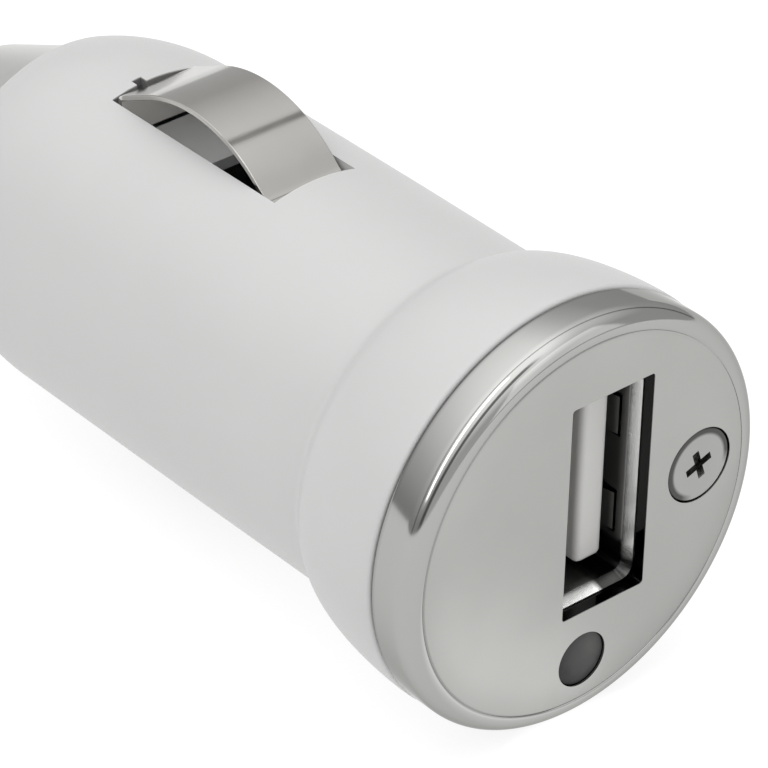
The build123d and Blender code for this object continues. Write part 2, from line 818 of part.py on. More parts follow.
# Ground wires from the board to the feet of the leaves
cable_y = window_front - foot_length - 0.3 - cable_radius
for name, side in (("ground_wire_upper", 1), ("ground_wire_lower", -1)):
    with BuildPart() as ground_wire:
        with BuildLine() as cable:
            FilletPolyline(
                (board_face + seat_gap, board_step - 0.7, side * (board_half - 0.6)),
                (0.3, board_step - 0.7, side * (board_half - 0.6)),
                (0.3, cable_y, side * (inner_radius - 0.7)),
                radius=0.5,
            )
        with BuildSketch(Plane(origin=cable.wire() @ 0, z_dir=cable.wire() % 0)):
            Circle(cable_radius)
        sweep(path=cable.wire())
    hand_in(ground_wire.part, name)
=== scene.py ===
"""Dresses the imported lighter-socket charger: smooth skins, finishes, studio and camera."""

import logging
import math
from dataclasses import dataclass, field
from enum import Enum
from functools import reduce
from typing import Iterable, Sequence

import bpy
from mathutils import Matrix, Vector


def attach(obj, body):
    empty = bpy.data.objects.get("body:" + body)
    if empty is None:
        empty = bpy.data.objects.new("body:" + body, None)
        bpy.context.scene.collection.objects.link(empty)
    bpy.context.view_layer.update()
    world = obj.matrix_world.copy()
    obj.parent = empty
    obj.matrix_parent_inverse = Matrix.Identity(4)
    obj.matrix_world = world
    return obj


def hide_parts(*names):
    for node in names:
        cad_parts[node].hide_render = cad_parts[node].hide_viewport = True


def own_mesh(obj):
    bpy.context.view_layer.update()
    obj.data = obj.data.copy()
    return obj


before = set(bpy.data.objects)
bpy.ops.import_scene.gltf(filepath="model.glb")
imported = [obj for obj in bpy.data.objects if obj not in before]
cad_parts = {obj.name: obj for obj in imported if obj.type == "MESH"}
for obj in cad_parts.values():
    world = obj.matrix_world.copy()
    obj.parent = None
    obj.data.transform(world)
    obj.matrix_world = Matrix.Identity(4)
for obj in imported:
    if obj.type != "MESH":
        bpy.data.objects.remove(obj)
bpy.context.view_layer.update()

LOG = logging.getLogger("charger")
MM = 0.001
TURN = 2.0 * math.pi
IMAGE_SIDE = 768.0
# How far a cut goes past what it cuts, in millimetres
OVERCUT = 0.5
# Points of an outline that are closer than this, in millimetres, are one point
SAME_POINT = 1e-4
# Vertices that are closer than this, in metres, are welded
WELD = 1e-6
# Most of a noise lies between these levels
CLOUD = (0.3, 0.7)
RISE = (0.0, 1.0)
FALL = (1.0, 0.0)
EVEN = (1.0, 1.0, 1.0)

Pair = tuple[float, float]
Triple = tuple[float, float, float]
Quad = tuple[float, float, float, float]
Thing = bpy.types.Object
Material = bpy.types.Material
Socket = bpy.types.NodeSocket


class Body(Enum):
    """Rigid bodies of the frame that pieces ride on."""

    HOUSING = "housing"
    UPPER = "upper_contact"
    LOWER = "lower_contact"
    TIP = "centre_tip"


class Axis(Enum):
    """Axes of the frame."""

    X = "X"
    Y = "Y"
    Z = "Z"


class Pick(Enum):
    """What is selected in edit mode."""

    VERTICES = "VERT"
    EDGES = "EDGE"


class Join(Enum):
    """Ways to combine a tool with a piece."""

    CUT = "DIFFERENCE"
    ADD = "UNION"


class Sum(Enum):
    """Math operations on values."""

    PLUS = "ADD"
    TIMES = "MULTIPLY"
    LEAST = "MINIMUM"
    MOST = "MAXIMUM"
    SIZE = "ABSOLUTE"


class Course(Enum):
    """How a value goes from one end of a range to the other."""

    STRAIGHT = "LINEAR"
    SMOOTH = "SMOOTHSTEP"


class Space(Enum):
    """Where the coordinates that nodes read belong."""

    PIECE = "Object"
    SKY = "Generated"


class Kind(Enum):
    """What is mixed."""

    COLOUR = "RGBA"
    NUMBER = "FLOAT"


def mm(x: float, y: float, z: float) -> Vector:
    """Point in metres from millimetres."""
    return Vector((x, y, z)) * MM


def span(ends: Pair) -> Pair:
    """Range in metres from millimetres."""
    return ends[0] * MM, ends[1] * MM


def arc(centre: Pair, radius: float, start: float, end: float, steps: int) -> list[Pair]:
    """Points along a circular arc.

    Args:
        centre: Centre of the arc.
        radius: Its radius.
        start: First angle in degrees.
        end: Last angle in degrees.
        steps: Number of equal steps.

    Returns:
        The points, both ends included.
    """
    points = []
    for index in range(steps + 1):
        angle = math.radians(start + (end - start) * index / steps)
        points.append((centre[0] + radius * math.cos(angle), centre[1] + radius * math.sin(angle)))
    return points


def bezier(control: Sequence[Pair], steps: int) -> list[Pair]:
    """Points along a cubic curve.

    Args:
        control: Its four control points.
        steps: Number of equal steps.

    Returns:
        The points, both ends included.
    """
    points = []
    for index in range(steps + 1):
        t = index / steps
        weights = ((1 - t) ** 3, 3 * t * (1 - t) ** 2, 3 * t * t * (1 - t), t**3)
        points.append(tuple(sum(w * p[k] for w, p in zip(weights, control)) for k in (0, 1)))
    return points


def run(start: Pair, end: Pair, steps: int) -> list[Pair]:
    """Points along a straight run, both ends included."""
    return [tuple(a + (b - a) * i / steps for a, b in zip(start, end)) for i in range(steps + 1)]


def joined(*runs: Sequence[Pair]) -> list[Pair]:
    """Chain several runs of points and drop repeated ones.

    Args:
        runs: The runs in order.

    Returns:
        The points of the whole chain.
    """
    points: list[Pair] = []
    for stretch in runs:
        for point in stretch:
            if not points or math.dist(points[-1], point) > SAME_POINT:
                points.append(point)
    return points


class Bench:
    """Hand tools: each method is a short run of operators on one piece."""

    @staticmethod
    def clear() -> None:
        """Leave edit mode and deselect everything."""
        active = bpy.context.view_layer.objects.active
        if active is not None and active.mode != "OBJECT":
            bpy.ops.object.mode_set(mode="OBJECT")
        bpy.ops.object.select_all(action="DESELECT")

    @staticmethod
    def focus(piece: Thing) -> None:
        """Select one piece and make it active.

        Args:
            piece: The piece.
        """
        Bench.clear()
        piece.select_set(True)
        bpy.context.view_layer.objects.active = piece

    @staticmethod
    def added(name: str) -> Thing:
        """Name the piece that was just added and put its place in its mesh.

        Args:
            name: Name of the new piece.

        Returns:
            The piece.
        """
        piece = bpy.context.view_layer.objects.active
        piece.name = name
        piece.data.name = name
        bpy.ops.object.transform_apply(location=True, rotation=True, scale=True)
        return piece

    @staticmethod
    def pick(piece: Thing, kind: Pick, chosen: Iterable[int]) -> None:
        """Go to edit mode with only some vertices or edges selected.

        Args:
            piece: The active piece.
            kind: Whether vertices or edges are selected.
            chosen: Indices of the selected vertices or edges.
        """
        bpy.ops.object.mode_set(mode="EDIT")
        bpy.ops.mesh.select_mode(type=kind.value)
        bpy.ops.mesh.select_all(action="DESELECT")
        bpy.ops.object.mode_set(mode="OBJECT")
        items = piece.data.vertices if kind is Pick.VERTICES else piece.data.edges
        for index in chosen:
            items[index].select = True
        bpy.ops.object.mode_set(mode="EDIT")

    @staticmethod
    def chain(name: str, points: Sequence[Vector], closed: bool = False) -> Thing:
        """Draw a chain of edges by extruding one vertex from point to point.

        Args:
            name: Name of the new piece.
            points: Places of the vertices in metres.
            closed: Whether the last vertex is joined to the first.

        Returns:
            The piece, left in edit mode with everything selected.
        """
        Bench.clear()
        bpy.ops.mesh.primitive_plane_add(size=MM)
        piece = Bench.added(name)
        bpy.ops.object.mode_set(mode="EDIT")
        bpy.ops.mesh.select_mode(type="VERT")
        bpy.ops.mesh.select_all(action="SELECT")
        bpy.ops.mesh.merge(type="CENTER")
        bpy.ops.transform.translate(value=points[0])
        for before, after in zip(points, points[1:]):
            bpy.ops.mesh.extrude_region_move(TRANSFORM_OT_translate={"value": after - before})
        if closed:
            Bench.pick(piece, Pick.VERTICES, (0, len(points) - 1))
            bpy.ops.mesh.edge_face_add()
        bpy.ops.mesh.select_all(action="SELECT")
        return piece

    @staticmethod
    def close_up() -> None:
        """In edit mode, merge doubles and turn all faces outwards."""
        bpy.ops.mesh.select_all(action="SELECT")
        bpy.ops.mesh.remove_doubles(threshold=WELD)
        bpy.ops.mesh.normals_make_consistent(inside=False)
        bpy.ops.object.mode_set(mode="OBJECT")

    @staticmethod
    def lathe(
        name: str,
        profile: Sequence[Pair],
        steps: int,
        closed: bool = False,
        axis_at: Pair = (0.0, 0.0),
    ) -> Thing:
        """Spin a profile about a line along Y.

        Args:
            name: Name of the new piece.
            profile: Radius and Y of each point in millimetres.
            steps: Number of steps round the axis.
            closed: Whether the profile is a closed loop that keeps off the axis.
            axis_at: X and Z of the axis in millimetres.

        Returns:
            The closed piece.
        """
        x, z = axis_at
        piece = Bench.chain(name, [mm(x + r, y, z) for r, y in profile], closed)
        bpy.ops.mesh.spin(steps=steps, angle=TURN, center=mm(x, 0, z), axis=(0, 1, 0))
        Bench.close_up()
        return piece

    @staticmethod
    def block(name: str, low: Triple, high: Triple, corner: float = 0.0) -> Thing:
        """Add a box between two corners, its edges along Y rounded.

        Args:
            name: Name of the new piece.
            low: Lowest corner in millimetres.
            high: Highest corner in millimetres.
            corner: Radius of the edges along Y in millimetres.

        Returns:
            The box.
        """
        Bench.clear()
        centre = (mm(*low) + mm(*high)) / 2
        bpy.ops.mesh.primitive_cube_add(size=1, location=centre, scale=mm(*high) - mm(*low))
        piece = Bench.added(name)
        if corner > 0.0:
            points = [vertex.co for vertex in piece.data.vertices]
            ends = [[points[index] for index in edge.vertices] for edge in piece.data.edges]
            upright = [index for index, (a, b) in enumerate(ends) if abs(a.y - b.y) > WELD]
            Bench.pick(piece, Pick.EDGES, upright)
            bpy.ops.mesh.bevel(offset=corner * MM, segments=6)
            bpy.ops.object.mode_set(mode="OBJECT")
        return piece

    @staticmethod
    def rod(name: str, axis_at: Pair, radius: float, ends: Pair, sides: int = 96) -> Thing:
        """Add a cylinder along Y.

        Args:
            name: Name of the new piece.
            axis_at: X and Z of its axis in millimetres.
            radius: Its radius in millimetres.
            ends: Y of its two ends in millimetres.
            sides: Number of sides.

        Returns:
            The cylinder.
        """
        Bench.clear()
        bpy.ops.mesh.primitive_cylinder_add(
            vertices=sides,
            radius=radius * MM,
            depth=(ends[1] - ends[0]) * MM,
            location=mm(axis_at[0], (ends[0] + ends[1]) / 2, axis_at[1]),
            rotation=(math.pi / 2, 0, 0),
        )
        return Bench.added(name)

    @staticmethod
    def modify(piece: Thing, kind: str, **settings: object) -> None:
        """Give a piece one modifier and apply it.

        Args:
            piece: The piece that is changed.
            kind: Kind of modifier.
            settings: Its settings by name.
        """
        modifier = piece.modifiers.new(kind.lower(), kind)
        for name, value in settings.items():
            setattr(modifier, name, value)
        Bench.focus(piece)
        bpy.ops.object.modifier_apply(modifier=modifier.name)

    @staticmethod
    def combine(piece: Thing, tool: Thing, how: Join) -> None:
        """Cut a tool from a piece or add it, and throw the tool away.

        Args:
            piece: The piece that is changed.
            tool: The shape that is cut or added.
            how: Whether it is cut or added.
        """
        Bench.modify(piece, "BOOLEAN", operation=how.value, solver="EXACT", object=tool)
        Bench.focus(tool)
        bpy.ops.object.delete()

    @staticmethod
    def drill(piece: Thing, axis_at: Pair, radius: float, ends: Pair) -> None:
        """Cut a round hole along Y, all sizes in millimetres."""
        Bench.combine(piece, Bench.rod("cut", axis_at, radius, ends), Join.CUT)

    @staticmethod
    def ease(piece: Thing, width: float, angle: float = 40.0, segments: int = 2) -> Thing:
        """Round the sharp edges of a piece a little.

        Args:
            piece: The piece that is changed.
            width: Width of the rounding in millimetres.
            angle: Smallest angle, in degrees, of an edge that counts as sharp.
            segments: Number of faces across the rounding.

        Returns:
            The same piece.
        """
        smooth_share = 0.7
        Bench.polish(piece, angle * smooth_share)
        Bench.modify(
            piece,
            "BEVEL",
            width=width * MM,
            segments=segments,
            limit_method="ANGLE",
            angle_limit=math.radians(angle),
            use_clamp_overlap=True,
            harden_normals=True,
        )
        Bench.clear()
        return piece

    @staticmethod
    def polish(piece: Thing, angle: float) -> Thing:
        """Shade a piece smooth, except over sharp edges.

        Args:
            piece: The piece that is changed.
            angle: Smallest angle, in degrees, of a sharp edge.

        Returns:
            The same piece.
        """
        Bench.focus(piece)
        bpy.ops.object.shade_smooth_by_angle(angle=math.radians(angle))
        Bench.clear()
        return piece


def shade(colour: Triple, factor: float) -> Triple:
    """Colour made lighter or darker."""
    return tuple(min(1.0, channel * factor) for channel in colour)


def opaque(colour: Triple) -> Quad:
    """Colour with full cover."""
    return (*colour, 1.0)


class Desk:
    """Lays out nodes in one tree."""

    def __init__(self, tree: bpy.types.NodeTree, space: Space) -> None:
        """Start on a tree whose nodes read the coordinates of one space."""
        self.tree = tree
        self.place = self.add("TexCoord", space.value, {})

    def add(self, kind: str, out: str, inputs: dict[str | int, object], **settings: object) -> Socket:
        """Add a node and fill its inputs.

        Args:
            kind: Kind of shader node.
            out: Name of the output that is wanted.
            inputs: Number, colour or socket for each input, by its name or index.
            settings: Settings of the node by name.

        Returns:
            The output.
        """
        node = self.tree.nodes.new(f"ShaderNode{kind}")
        for name, value in settings.items():
            setattr(node, name, value)
        for name, value in inputs.items():
            if isinstance(value, Socket):
                self.tree.links.new(value, node.inputs[name])
            else:
                node.inputs[name].default_value = value
        return node.outputs[out]

    def noise(self, scale: float, detail: float = 3.0, scaled: Triple = EVEN) -> Socket:
        """Noise with its cells per metre, its octaves and its stretch along each axis."""
        vector = self.add("Mapping", "Vector", {"Scale": scaled, "Vector": self.place})
        return self.add("TexNoise", "Fac", {"Scale": scale, "Detail": detail, "Vector": vector})

    def along(self, axis: Axis) -> Socket:
        """One coordinate."""
        return self.add("SeparateXYZ", axis.value, {"Vector": self.place})

    def distance(self, point: Triple) -> Socket:
        """Distance from a point given in millimetres."""
        return self.add("VectorMath", "Value", {0: self.place, 1: mm(*point)}, operation="DISTANCE")

    def toward(self, direction: Sequence[float]) -> Socket:
        """Share of a direction in the coordinates."""
        return self.add("VectorMath", "Value", {0: self.place, 1: direction}, operation="DOT_PRODUCT")

    def radius(self) -> Socket:
        """Distance from the plug's axis in metres."""
        flat = self.add("VectorMath", "Vector", {0: self.place, 1: (1.0, 0.0, 1.0)}, operation="MULTIPLY")
        return self.add("VectorMath", "Value", {0: flat}, operation="LENGTH")

    def spread(
        self,
        value: Socket,
        source: Pair,
        target: Pair = RISE,
        course: Course = Course.STRAIGHT,
    ) -> Socket:
        """Map a value from one range to another, clamped.

        Args:
            value: The value.
            source: Range that it comes in.
            target: Range that it is mapped to.
            course: How it goes from end to end.

        Returns:
            The mapped value.
        """
        inputs = {"Value": value, "From Min": source[0], "From Max": source[1]}
        inputs |= {"To Min": target[0], "To Max": target[1]}
        return self.add("MapRange", "Result", inputs, interpolation_type=course.value)

    def step(self, value: Socket, source: Pair, target: Pair) -> Socket:
        """Map a value smoothly from one range to another."""
        return self.spread(value, source, target, Course.SMOOTH)

    def between(self, axis: Axis, ends: Pair, edge: float) -> Socket:
        """Mask of a stretch along one axis.

        Args:
            axis: The axis.
            ends: Where the stretch starts and ends, in millimetres.
            edge: Width over which the mask fades outside the stretch, in millimetres.

        Returns:
            One inside the stretch and zero outside.
        """
        value = self.along(axis)
        start = self.spread(value, span((ends[0] - edge, ends[0])))
        end = self.spread(value, span((ends[1], ends[1] + edge)), FALL)
        return self.sums(Sum.TIMES, start, end)

    def sums(self, how: Sum, first: Socket, second: Socket | float = 0.0) -> Socket:
        """Combine two values with one math operation."""
        return self.add("Math", "Value", {0: first, 1: second}, operation=how.value)

    def mix(self, factor: Socket, first: object, second: object, kind: Kind = Kind.COLOUR) -> Socket:
        """Mix two colours or two numbers by a factor."""
        return self.add("Mix", "Result", {"Factor": factor, "A": first, "B": second}, data_type=kind.value)


class Swatch(Desk):
    """Desk of one material with one shader."""

    def __init__(self, name: str) -> None:
        """Start an empty material.

        Args:
            name: Name of the material.
        """
        self.material = bpy.data.materials.new(name)
        self.material.use_nodes = True
        super().__init__(self.material.node_tree, Space.PIECE)
        self.shader = self.tree.nodes["Principled BSDF"]

    def drive(self, name: str, source: Socket) -> None:
        """Join a value to one socket of the shader."""
        self.tree.links.new(source, self.shader.inputs[name])

    def value(self, name: str, amount: float | Quad) -> None:
        """Set one socket of the shader."""
        self.shader.inputs[name].default_value = amount

    def mottled(self, cloud: Socket, colour: Triple, mottle: float) -> Socket:
        """Colour that drifts a little lighter and darker with a noise."""
        tints = [opaque(shade(colour, 1.0 + drift)) for drift in (-mottle, mottle)]
        return self.mix(self.spread(cloud, CLOUD), *tints)

    def marked(self, tone: Socket, marks: Sequence["Mark"]) -> Socket:
        """Lay several marks over a tone."""
        return reduce(lambda under, mark: mark.lay(self, under), marks, tone)

    def bump(self, height: Socket, depth: float, strength: float) -> None:
        """Give the shader a fine relief, its depth in millimetres."""
        relief = {"Strength": strength, "Distance": depth * MM, "Height": height}
        self.drive("Normal", self.add("Bump", "Normal", relief))


@dataclass(frozen=True)
class Mark:
    """Local change of colour on a piece."""

    colour: Triple

    def mask(self, desk: Desk) -> Socket:
        """Where the change is: one inside it and zero outside."""
        raise NotImplementedError

    def lay(self, desk: Desk, tone: Socket) -> Socket:
        """Lay the change over a tone."""
        return desk.mix(self.mask(desk), tone, opaque(self.colour))


@dataclass(frozen=True)
class Fade(Mark):
    """Change along one axis, between two places in millimetres."""

    axis: Axis
    ends: Pair

    def mask(self, desk: Desk) -> Socket:
        """Zero at the first place and one at the second."""
        return desk.spread(desk.along(self.axis), span(self.ends))


@dataclass(frozen=True)
class Ring(Mark):
    """Change away from a middle, but not near one point of the ring, in millimetres."""

    middle: Triple
    ends: Pair
    gap: Triple
    reach: Pair

    def mask(self, desk: Desk) -> Socket:
        """One beyond the ring, away from its gap."""
        away = desk.spread(desk.distance(self.middle), span(self.ends))
        return desk.sums(Sum.TIMES, away, desk.spread(desk.distance(self.gap), span(self.reach)))


@dataclass(frozen=True)
class Patch(Mark):
    """Change inside a box that fades over an edge outside it, in millimetres."""

    low: Triple
    high: Triple
    edge: float

    def mask(self, desk: Desk) -> Socket:
        """One inside the box."""
        x, y, z = (desk.between(axis, ends, self.edge) for axis, *ends in zip(Axis, self.low, self.high))
        return desk.sums(Sum.TIMES, desk.sums(Sum.TIMES, x, y), z)


@dataclass(frozen=True)
class Recess(Mark):
    """Change inside a radius, between two places along the plug, in millimetres."""

    radius: Pair
    ends: Pair
    edge: float = 0.02

    def mask(self, desk: Desk) -> Socket:
        """One inside the radius and between the places."""
        inside = desk.spread(desk.radius(), span(self.radius), FALL)
        return desk.sums(Sum.TIMES, inside, desk.between(Axis.Y, self.ends, self.edge))


@dataclass(frozen=True)
class Finish:
    """Finish of a piece: the name and the main colour of its material."""

    name: str
    colour: Triple

    def paint(self, desk: Swatch) -> None:
        """Lay out the nodes of the material."""
        raise NotImplementedError

    def make(self) -> Material:
        """Build the material.

        Returns:
            The material.
        """
        desk = Swatch(self.name)
        self.paint(desk)
        return desk.material


@dataclass(frozen=True)
class Moulding(Finish):
    """Moulded plastic with a faint spark-eroded grain."""

    rough: Pair = (0.40, 0.50)
    mottle: float = 0.02
    grain: float = 9000.0
    relief: Pair = (0.006, 0.25)
    specular: float = 0.45
    marks: tuple[Mark, ...] = ()
    cloud_scale: float = 160.0

    def paint(self, desk: Swatch) -> None:
        """Lay out the nodes of the material.

        Args:
            desk: Desk of the material.
        """
        tone = desk.mottled(desk.noise(self.cloud_scale), self.colour, self.mottle)
        desk.drive("Base Color", desk.marked(tone, self.marks))
        speck = desk.noise(self.grain, 2.0)
        desk.drive("Roughness", desk.spread(speck, CLOUD, self.rough))
        desk.bump(speck, *self.relief)
        desk.value("Specular IOR Level", self.specular)


@dataclass(frozen=True)
class Paper(Moulding):
    """Studio paper that glows, more so in one pool of light."""

    pool: Triple = (0.0, 0.0, 0.0)
    reach: Pair = RISE
    glow: Pair = RISE

    def paint(self, desk: Swatch) -> None:
        """Lay out the nodes of the material.

        Args:
            desk: Desk of the material.
        """
        super().paint(desk)
        desk.drive("Emission Strength", desk.spread(desk.distance(self.pool), span(self.reach), self.glow))
        desk.value("Emission Color", opaque(EVEN))


@dataclass(frozen=True)
class Plating(Finish):
    """Plated or drawn metal with fine lines along one axis and soft smears."""

    rough: Pair = (0.16, 0.26)
    lines: Triple = (1.0, 0.05, 1.0)
    line_scale: float = 14000.0
    relief: Pair = (0.001, 0.35)
    mottle: float = 0.04
    marks: tuple[Mark, ...] = ()
    cloud_scale: float = 220.0
    shares: Pair = (0.4, 0.6)

    def paint(self, desk: Swatch) -> None:
        """Lay out the nodes of the material.

        Args:
            desk: Desk of the material.
        """
        cloud = desk.noise(self.cloud_scale, 4.0)
        lines = desk.noise(self.line_scale, 2.0, self.lines)
        tone = desk.mottled(cloud, self.colour, self.mottle)
        desk.drive("Base Color", desk.marked(tone, self.marks))
        smears, scratches = (
            desk.spread(noise, CLOUD, (0.0, share)) for noise, share in zip((cloud, lines), self.shares)
        )
        desk.drive("Roughness", desk.spread(desk.sums(Sum.PLUS, smears, scratches), RISE, self.rough))
        desk.bump(lines, *self.relief)
        desk.value("Metallic", 1.0)


@dataclass(frozen=True)
class RolledCap(Finish):
    """Chrome cap: satin on its flat front, bright on its rolled edge and skirt."""

    edge_colour: Triple
    flat_rough: Pair
    edge_rough: Pair
    edge_radius: float
    flat_y: float
    # painted shade: the wall of the port's cut is painted near black
    cut: Mark
    # painted shade: a dark line in the groove round the flat, stronger on the left
    line: Triple = (11.08, 0.09, 0.45)
    line_reach: Pair = (3.0, -4.0)
    line_levels: Pair = (0.1, 1.0)
    line_shade: float = 0.3
    # painted shade: the rear of the skirt, by the flange, is painted darker
    rear: Mark = Fade((0.27, 0.27, 0.264), Axis.Y, (-8.2, -7.9))
    grazing: Triple = (0.62, 0.62, 0.61)
    blend: float = 0.04
    behind: Pair = (0.06, 0.12)
    mottle: float = 0.03
    relief: Pair = (0.002, 0.2)
    cloud_scale: float = 140.0
    grit_scale: float = 16000.0

    def groove_shade_mask(self, desk: Swatch) -> Socket:
        """Mask of the painted shade line in the groove where the flat meets the rolled edge.

        Args:
            desk: Desk of the material.

        Returns:
            The mask, painted stronger on the left.
        """
        at, width, strength = self.line
        inner = desk.spread(desk.radius(), span((at - width, at)), (0.0, strength))
        outer = desk.spread(desk.radius(), span((at, at + width)), (strength, 0.0))
        side = desk.spread(desk.along(Axis.X), span(self.line_reach), self.line_levels)
        return desk.sums(Sum.TIMES, desk.sums(Sum.LEAST, inner, outer), side)

    def paint(self, desk: Swatch) -> None:
        """Lay out the nodes of the material.

        Args:
            desk: Desk of the material.
        """
        cloud = desk.noise(self.cloud_scale)
        grit = desk.noise(self.grit_scale, 2.0)
        rim = (self.edge_radius - self.blend, self.edge_radius + self.blend)
        ring = desk.spread(desk.radius(), span(rim))
        back = desk.spread(desk.along(Axis.Y), span(tuple(self.flat_y + depth for depth in self.behind)))
        bright = desk.sums(Sum.MOST, ring, back)
        flat = desk.mottled(cloud, self.colour, self.mottle)
        tone = self.rear.lay(desk, desk.mix(bright, flat, opaque(self.edge_colour)))
        # painted shade line in the groove
        tone = desk.mix(self.groove_shade_mask(desk), tone, opaque(shade(self.colour, self.line_shade)))
        # painted shade on the port's cut wall
        desk.drive("Base Color", self.cut.lay(desk, tone))
        satin = desk.spread(grit, CLOUD, self.flat_rough)
        shine = desk.spread(cloud, CLOUD, self.edge_rough)
        desk.drive("Roughness", desk.mix(bright, satin, shine, Kind.NUMBER))
        desk.bump(cloud, *self.relief)
        desk.value("Metallic", 1.0)
        desk.value("Specular Tint", opaque(self.grazing))


@dataclass(frozen=True)
class Lens(Finish):
    """Smoky clear moulding of an unlit lamp, with a painted highlight round one place."""

    # colour of the painted highlight
    glow: Triple
    centre: Triple
    reach: float
    rough: Pair = (0.42, 0.55)
    haze_scale: float = 1200.0
    specular: float = 0.3

    def paint(self, desk: Swatch) -> None:
        """Lay out the nodes of the material.

        Args:
            desk: Desk of the material.
        """
        highlight_mask = desk.spread(desk.distance(self.centre), span((0.0, self.reach)), FALL)
        desk.drive("Base Color", desk.mix(highlight_mask, opaque(self.colour), opaque(self.glow)))
        desk.drive("Roughness", desk.spread(desk.noise(self.haze_scale, 2.0), CLOUD, self.rough))
        desk.value("Specular IOR Level", self.specular)


@dataclass(frozen=True)
class Laminate(Finish):
    """Solder mask over woven glass."""

    weave_scale: float = 900.0
    weave_bend: float = 1.5
    tints: Pair = (0.85, 1.2)
    rough: Pair = (0.3, 0.42)
    relief: Pair = (0.004, 0.2)

    def paint(self, desk: Swatch) -> None:
        """Lay out the nodes of the material.

        Args:
            desk: Desk of the material.
        """
        weave = {"Scale": self.weave_scale, "Distortion": self.weave_bend, "Vector": desk.place}
        threads = desk.add("TexWave", "Fac", weave)
        tints = [opaque(shade(self.colour, tint)) for tint in self.tints]
        desk.drive("Base Color", desk.mix(threads, *tints))
        desk.drive("Roughness", desk.spread(threads, RISE, self.rough))
        desk.bump(threads, *self.relief)


def hand_over(piece: Thing, body: Body, node: str, finish: Finish) -> None:
    """Give a finished piece its material and body, and hide the node that it stands for.

    Args:
        piece: The finished piece.
        body: Body that it rides on.
        node: Node that it replaces.
        finish: Its finish.
    """
    piece.data.materials.clear()
    piece.data.materials.append(finish.make())
    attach(piece, body.value)
    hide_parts(node)
    LOG.info("piece %s: %d faces on %s", piece.name, len(piece.data.polygons), body.value)


